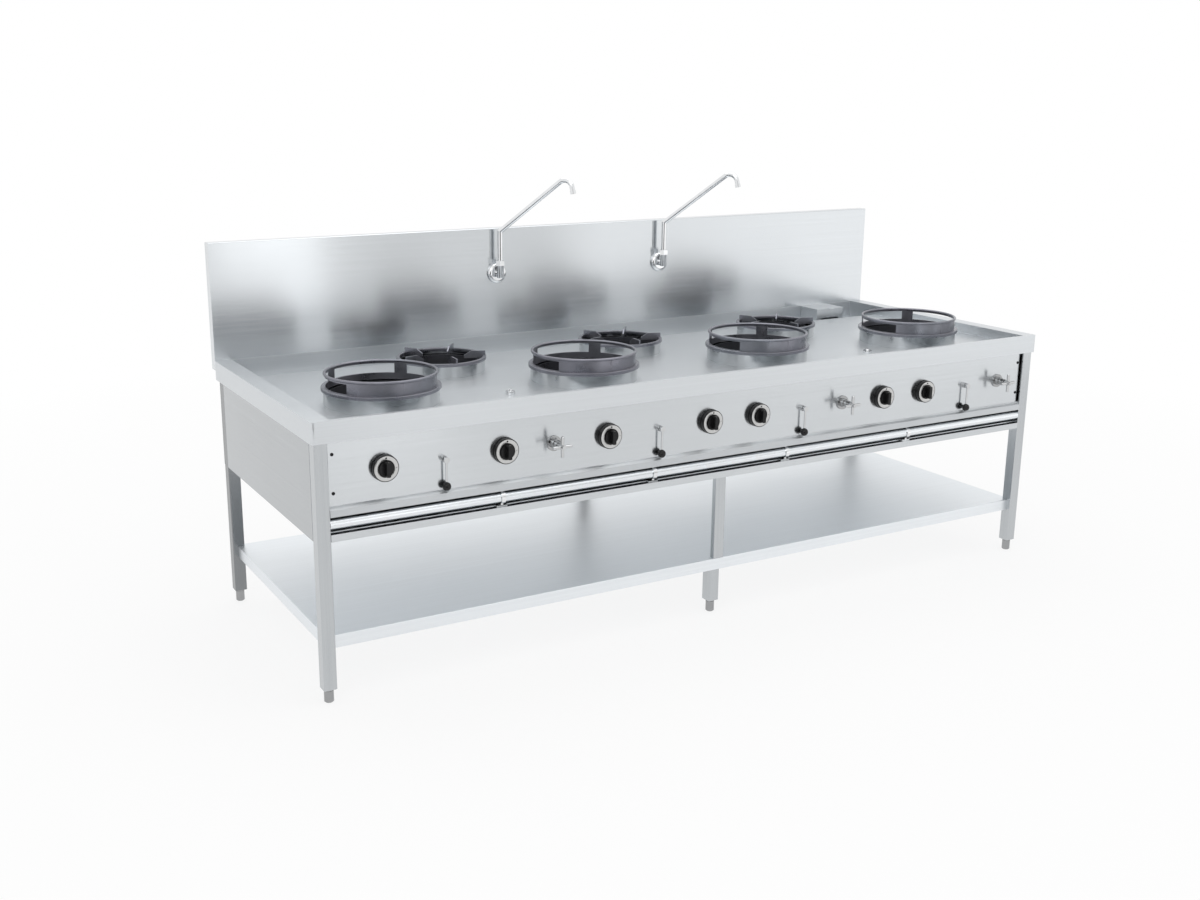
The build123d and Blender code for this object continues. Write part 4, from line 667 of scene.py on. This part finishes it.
class WOKRANGE_OT_gas_knobs(RangeOperator, bpy.types.Operator):
    """Make the dial plate, dot and tick of each gas knob, and give the knobs their plastic"""

    bl_idname = "wokrange.gas_knobs"
    bl_label = "Gas Knobs"

    ROUGHNESS = 0.3
    PLATE_STEPS = 96
    # Millimetres: height at the rim, then way in from it and height at the bevel and the crown
    PLATE_RIM = 0.45
    PLATE_BEVEL = (0.25, 0.65)
    PLATE_CROWN = (4, 0.72)
    PLATE_BACK = 0.7
    MARK_SEAT = 0.68
    # Length, width and height of the marks, and the power of a round outline
    DOT = (5.4, 5.4, 0.3, 2.0)
    TICK = (5.0, 1.1, 0.25)

    def plate(self, inner, outer):
        """The dial plate's profile: a thin ring, bevelled at both edges and slightly crowned."""
        (bevel, bevel_h), (crown, crown_h) = self.PLATE_BEVEL, self.PLATE_CROWN
        return ((inner, 0.0), (outer, 0.0), (outer, self.PLATE_RIM), (outer - bevel, bevel_h),
                (outer - crown, crown_h), (inner + crown, crown_h), (inner + bevel, bevel_h),
                (inner, self.PLATE_RIM))

    def execute(self, context):
        sizes, looks = context.scene.wokrange_sizes, context.scene.wokrange_finishes
        plastic = moulded_plastic("knob_plastic", looks.plastic, self.ROUGHNESS)
        aluminium = turned_dial("dial_aluminium", looks.dial)
        pieces = [dress("knob_bezels", plastic, KNOB_EDGE)]
        inner, outer = sizes.dial_inner / MM, sizes.dial_outer / MM
        profile = self.plate(inner, outer)
        band = (inner + outer) / 2 * MM
        right, up, out = (1, 0, 0), (0, 0, 1), (0, -1, 0)
        for i in range(1, KNOB_COUNT + 1):
            body = f"gas_knob_{i}"
            pieces.append(dress(body, plastic, KNOB_EDGE))
            centre = middle(body)
            centre.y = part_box(body)[0].y + sizes.dial_depth + self.PLATE_BACK * MM
            ring = lathe(
                f"dial_plate_{i}", centre, out, profile, self.PLATE_STEPS, closed=True, reach=True)
            pieces.append(finish(ring, aluminium, body))
            face = centre + Vector(out) * self.MARK_SEAT * MM
            top, beside = face + Vector(up) * band, face + Vector(right) * band
            dot = pad(f"dial_dot_{i}", top, right, up, out, *self.DOT)
            tick = pad(f"dial_tick_{i}", beside, right, up, out, *self.TICK)
            pieces += [finish(mark, plastic, body) for mark in (dot, tick)]
        return self.done(pieces)


class WOKRANGE_OT_levers(RangeOperator, bpy.types.Operator):
    """Polish the lever rods and give their balls gloss plastic"""

    bl_idname = "wokrange.levers"
    bl_label = "Levers"

    # Painted shade: the rods' chrome is made a quarter darker than the plain chrome
    ROD_PAINTED_SHADE = 0.75
    BALL_ROUGHNESS = 0.2

    def execute(self, context):
        looks = context.scene.wokrange_finishes
        chrome = polished_chrome("lever_chrome", shade(looks.chrome, self.ROD_PAINTED_SHADE))
        ball = moulded_plastic("ball_plastic", looks.plastic, self.BALL_ROUGHNESS)
        pieces = []
        for i in range(LEVER_COUNT):
            pieces.append(dress(f"lever_rod_{i + 1}", chrome, CASTING_EDGE))
            pieces.append(dress(f"lever_ball_{i + 1}", ball))
        return self.done(pieces)


class WOKRANGE_OT_water_fittings(RangeOperator, bpy.types.Operator):
    """Polish the cross handles, taps, spouts and deck nozzles, and coat the water pipes"""

    bl_idname = "wokrange.water_fittings"
    bl_label = "Water Fittings"

    # Painted shade: the cross handles' chrome is made over a quarter darker than the plain chrome,
    # and the bonnets' chrome half as light
    HANDLE_PAINTED_SHADE = 0.72
    BONNET_PAINTED_SHADE = 0.5

    def execute(self, context):
        looks = context.scene.wokrange_finishes
        chrome = polished_chrome("tap_chrome", looks.chrome)
        handle = polished_chrome("handle_chrome", shade(looks.chrome, self.HANDLE_PAINTED_SHADE))
        bonnet = polished_chrome("bonnet_chrome", shade(looks.chrome, self.BONNET_PAINTED_SHADE))
        pieces = [dress(f"cross_handle_{i + 1}", handle) for i in range(HANDLE_COUNT)]
        pieces += [dress("water_valves", bonnet, FITTING_EDGE)]
        pieces += [dress(f"spout_{i + 1}", chrome) for i in range(TAP_COUNT)]
        pieces += [dress(name, chrome, FITTING_EDGE) for name in ("tap_bodies", "deck_nozzles")]
        for name in ("water_header", "drain_pipe"):
            pieces.append(dress(name, zinc_pipe(f"{name}_zinc")))
        return self.done(pieces)


class WOKRANGE_OT_gas_fittings(RangeOperator, bpy.types.Operator):
    """Coat the gas manifold and machine the gas valves"""

    bl_idname = "wokrange.gas_fittings"
    bl_label = "Gas Fittings"

    def execute(self, context):
        pieces = [dress("gas_manifold", zinc_pipe("gas_pipe_zinc"))]
        pieces += [dress("gas_valves", machined_brass("valve_brass"), CASTING_EDGE)]
        return self.done(pieces)


class WOKRANGE_OT_panel_screws(RangeOperator, bpy.types.Operator):
    """Make the socket screws in the corners of the control panel"""

    bl_idname = "wokrange.panel_screws"
    bl_label = "Panel Screws"

    STEPS = 60
    # Share of the head's radius, share of its height, and 1 where the outline is the socket's
    HEAD = ((1.0, 0.0, 0.0), (1.0, 0.45, 0.0), (0.9, 0.78, 0.0), (0.62, 1.0, 0.0), (0.52, 1.0, 1.0),
            (0.5, 0.92, 1.0), (0.5, 0.25, 1.0), (0.0, 0.18, 1.0))

    def execute(self, context):
        black = blackened_steel("screw_black")
        radius = context.scene.wokrange_sizes.screw_radius
        low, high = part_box("panel_screws")
        deep = high.y - low.y
        head = [(r * radius / MM, h * deep / MM, socket) for r, h, socket in self.HEAD]
        pieces = []
        for x in (low.x + radius, high.x - radius):
            for z in (low.z + radius, high.z - radius):
                screw = lathe(
                    f"socket_screw_{len(pieces) + 1}", (x, high.y, z), (0, -1, 0), head, self.STEPS,
                    hexagon)
                pieces.append(finish(screw, black, "frame"))
        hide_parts("panel_screws")
        return self.done(pieces)


# ---------------------------------------------------------------- studio and camera


def lamp(name, place, aim, size, power):
    """A soft rectangular lamp that looks at a point."""
    data = bpy.data.lights.new(name, "AREA")
    data.shape = "RECTANGLE"
    data.size, data.size_y = size
    data.energy = power
    light = bpy.data.objects.new(name, data)
    light.location = place
    light.visible_camera = False
    light.rotation_euler = (Vector(aim) - Vector(place)).to_track_quat("-Z", "Y").to_euler()
    bpy.context.scene.collection.objects.link(light)
    return light


class WOKRANGE_OT_stage(RangeOperator, bpy.types.Operator):
    """Make the pale floor, white surround, soft lamps and camera"""

    bl_idname = "wokrange.stage"
    bl_label = "Studio"

    CAMERA_LEFT = 2.51236
    CAMERA_BEFORE = 3.36105
    CAMERA_HEIGHT = 1.71463
    CAMERA_TILT = 75.465
    CAMERA_TURN = -29.114
    CAMERA_ROLL = 0.141
    CAMERA_LENS = 39.662
    CAMERA_SHIFT = (0.0383, -0.0145)
    SENSOR_WIDTH = 36.0
    SIGHT = 200.0

    FLOOR_REACH = 30.0
    FLOOR_TONE = 0.86
    # Distance from the range, and the share of the floor's look there that is plain white
    FLOOR_NEAR = (1.4, 0.82)
    FLOOR_FAR = (4.5, 1.0)

    # Left, right, behind, low and high
    FAR_CARD = (-7.0, 6.0, -6.5, 1.3, 2.8)
    NEAR_CARD = (-5.0, -0.75, -4.4, 0.0, 1.35)
    CARD_PALE = 0.95
    CARD_DARK = 0.03
    CARD_FADE_UP = (0.6, 1.2)
    CARD_FADE_RIGHT = (0.8, 2.6)

    # Place, the point it looks at, and its width and height
    LAMPS = {
        "key": ("key_lamp", (-3.2, -3.4, 3.6), (0, -0.2, 0.7), (2.6, 2.0)),
        "top": ("top_lamp", (0.4, 0.3, 4.2), (0, 0.1, 0.8), (6.0, 3.0)),
        "strip": ("left_strip", (0.12, -3.9, 0.9), (-1.1, 0.48, 0.9), (0.75, 1.7)),
        "side": ("right_box", (3.6, -3.2, 0.9), (0.9, 0.48, 0.9), (2.8, 1.7)),
    }

    def execute(self, context):
        studio = context.scene.wokrange_studio
        self.surround(context.scene, studio.surround)
        self.floor()
        self.card("far_card", self.FAR_CARD, self.CARD_PALE)
        self.card("near_card", self.NEAR_CARD, self.CARD_DARK)
        lamps = [lamp(*where, getattr(studio, level)) for level, where in self.LAMPS.items()]
        self.camera(context.scene)
        return self.done(lamps)

    def surround(self, scene, level):
        """White to the camera and in reflections, and level for matt surfaces."""
        scene.world = bpy.data.worlds.new("white_surround")
        g = Graph(scene.world)
        share = g.spread(g.seen(), 0.0, 1.0, level, 1.0)
        light = g.node("ShaderNodeBackground", {}, {"Color": (1, 1, 1), "Strength": share})
        g.node("ShaderNodeOutputWorld", {}, {"Surface": light})

    def floor(self):
        """A pale square floor, points (x, y, 0), white to the camera but with its shadow kept."""
        g = material("studio_floor")
        matt = g.node("ShaderNodeBsdfDiffuse", {}, {"Color": (self.FLOOR_TONE,) * 3})
        white = g.node("ShaderNodeEmission", {}, {"Color": (1, 1, 1), "Strength": 1.0})
        away = g.node("ShaderNodeVectorMath", {"operation": "LENGTH"}, {0: g.place()}, "Value")
        (near, near_share), (far, far_share) = self.FLOOR_NEAR, self.FLOOR_FAR
        share = g.spread(g.seen(), 0.0, 1.0) * g.spread(away, near, far, near_share, far_share)
        both = g.node("ShaderNodeMixShader", {}, {0: share, 1: matt, 2: white})
        g.node("ShaderNodeOutputMaterial", {}, {"Surface": both})
        across = np.linspace(-self.FLOOR_REACH, self.FLOOR_REACH, 5)
        x, y = np.meshgrid(across, across, indexing="ij")
        self.flat("floor", x, y, 0 * x, g.owner)

    def card(self, name, size, pale):
        """A large upright card, points (x, behind, z), seen only in the chrome and steel.

        It is dark above and to the right, and pale by a share at its foot and left end.
        """
        left, right, behind, low, high = size
        g = material(name)
        place = g.place()
        above = g.node("ShaderNodeSeparateXYZ", {}, {0: place}, "Z")
        beside = g.node("ShaderNodeSeparateXYZ", {}, {0: place}, "X")
        dark = g.spread(above, *(low + fade for fade in self.CARD_FADE_UP))
        dark = dark * g.spread(beside, *self.CARD_FADE_RIGHT)
        tone = g.mix(dark, (pale,) * 3, (self.CARD_DARK,) * 3)
        matt = g.node("ShaderNodeBsdfDiffuse", {}, {"Color": tone})
        g.node("ShaderNodeOutputMaterial", {}, {"Surface": matt})
        x, z = np.meshgrid((left, right), (low, high), indexing="ij")
        card = self.flat(name, x, 0 * x + behind, z, g.owner)
        card.visible_camera = False
        card.visible_diffuse = False
        card.visible_shadow = False

    def flat(self, name, x, y, z, look):
        """A flat piece of the stage: the grid of points (x, y, z), each four neighbours a face."""
        piece = grid_mesh(name, np.stack([x, y, z], axis=-1), close_columns=False)
        piece.data.materials.append(look)
        return piece

    def camera(self, scene):
        """The camera stands left of and before the range, placed from the front of its legs."""
        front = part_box("front_legs")[0].y
        data = bpy.data.cameras.new("camera")
        data.lens = self.CAMERA_LENS
        data.sensor_width = self.SENSOR_WIDTH
        data.shift_x, data.shift_y = self.CAMERA_SHIFT
        data.clip_end = self.SIGHT
        camera = bpy.data.objects.new("camera", data)
        camera.location = (-self.CAMERA_LEFT, front - self.CAMERA_BEFORE, self.CAMERA_HEIGHT)
        tilt, turn, roll = map(math.radians, (self.CAMERA_TILT, self.CAMERA_TURN, self.CAMERA_ROLL))
        aimed = Euler((tilt, 0, turn)).to_matrix() @ Matrix.Rotation(roll, 3, "Z")
        camera.rotation_euler = aimed.to_euler()
        scene.collection.objects.link(camera)
        scene.camera = camera
        scene.view_settings.view_transform = "Standard"


# ---------------------------------------------------------------- panel and registration

STEPS = (
    WOKRANGE_OT_sheet_metal, WOKRANGE_OT_frame_tubes, WOKRANGE_OT_burners, WOKRANGE_OT_gas_knobs,
    WOKRANGE_OT_levers, WOKRANGE_OT_water_fittings, WOKRANGE_OT_gas_fittings,
    WOKRANGE_OT_panel_screws, WOKRANGE_OT_stage,
)


class WOKRANGE_PT_sidebar(bpy.types.Panel):
    """The steps that dress the range, in order"""

    bl_idname = "WOKRANGE_PT_sidebar"
    bl_label = "Wok Range"
    bl_space_type = "VIEW_3D"
    bl_region_type = "UI"
    bl_category = "Wok Range"

    def draw(self, context):
        column = self.layout.column(align=True)
        for step in STEPS:
            column.operator(step.bl_idname)


GROUPS = {"wokrange_sizes": TrimSizes, "wokrange_finishes": Finishes, "wokrange_studio": Studio}


def register():
    for group in GROUPS.values():
        bpy.utils.register_class(group)
    for name, group in GROUPS.items():
        setattr(bpy.types.Scene, name, PointerProperty(type=group))
    for step in (*STEPS, WOKRANGE_PT_sidebar):
        bpy.utils.register_class(step)


def unregister():
    for step in reversed((*STEPS, WOKRANGE_PT_sidebar)):
        bpy.utils.unregister_class(step)
    for name in GROUPS:
        delattr(bpy.types.Scene, name)
    for group in reversed(GROUPS.values()):
        bpy.utils.unregister_class(group)


def main():
    """Registers the classes and runs every step."""
    register()
    for step in STEPS:
        group, name = step.bl_idname.split(".")
        getattr(getattr(bpy.ops, group), name)()


if __name__ == "__main__":
    main()
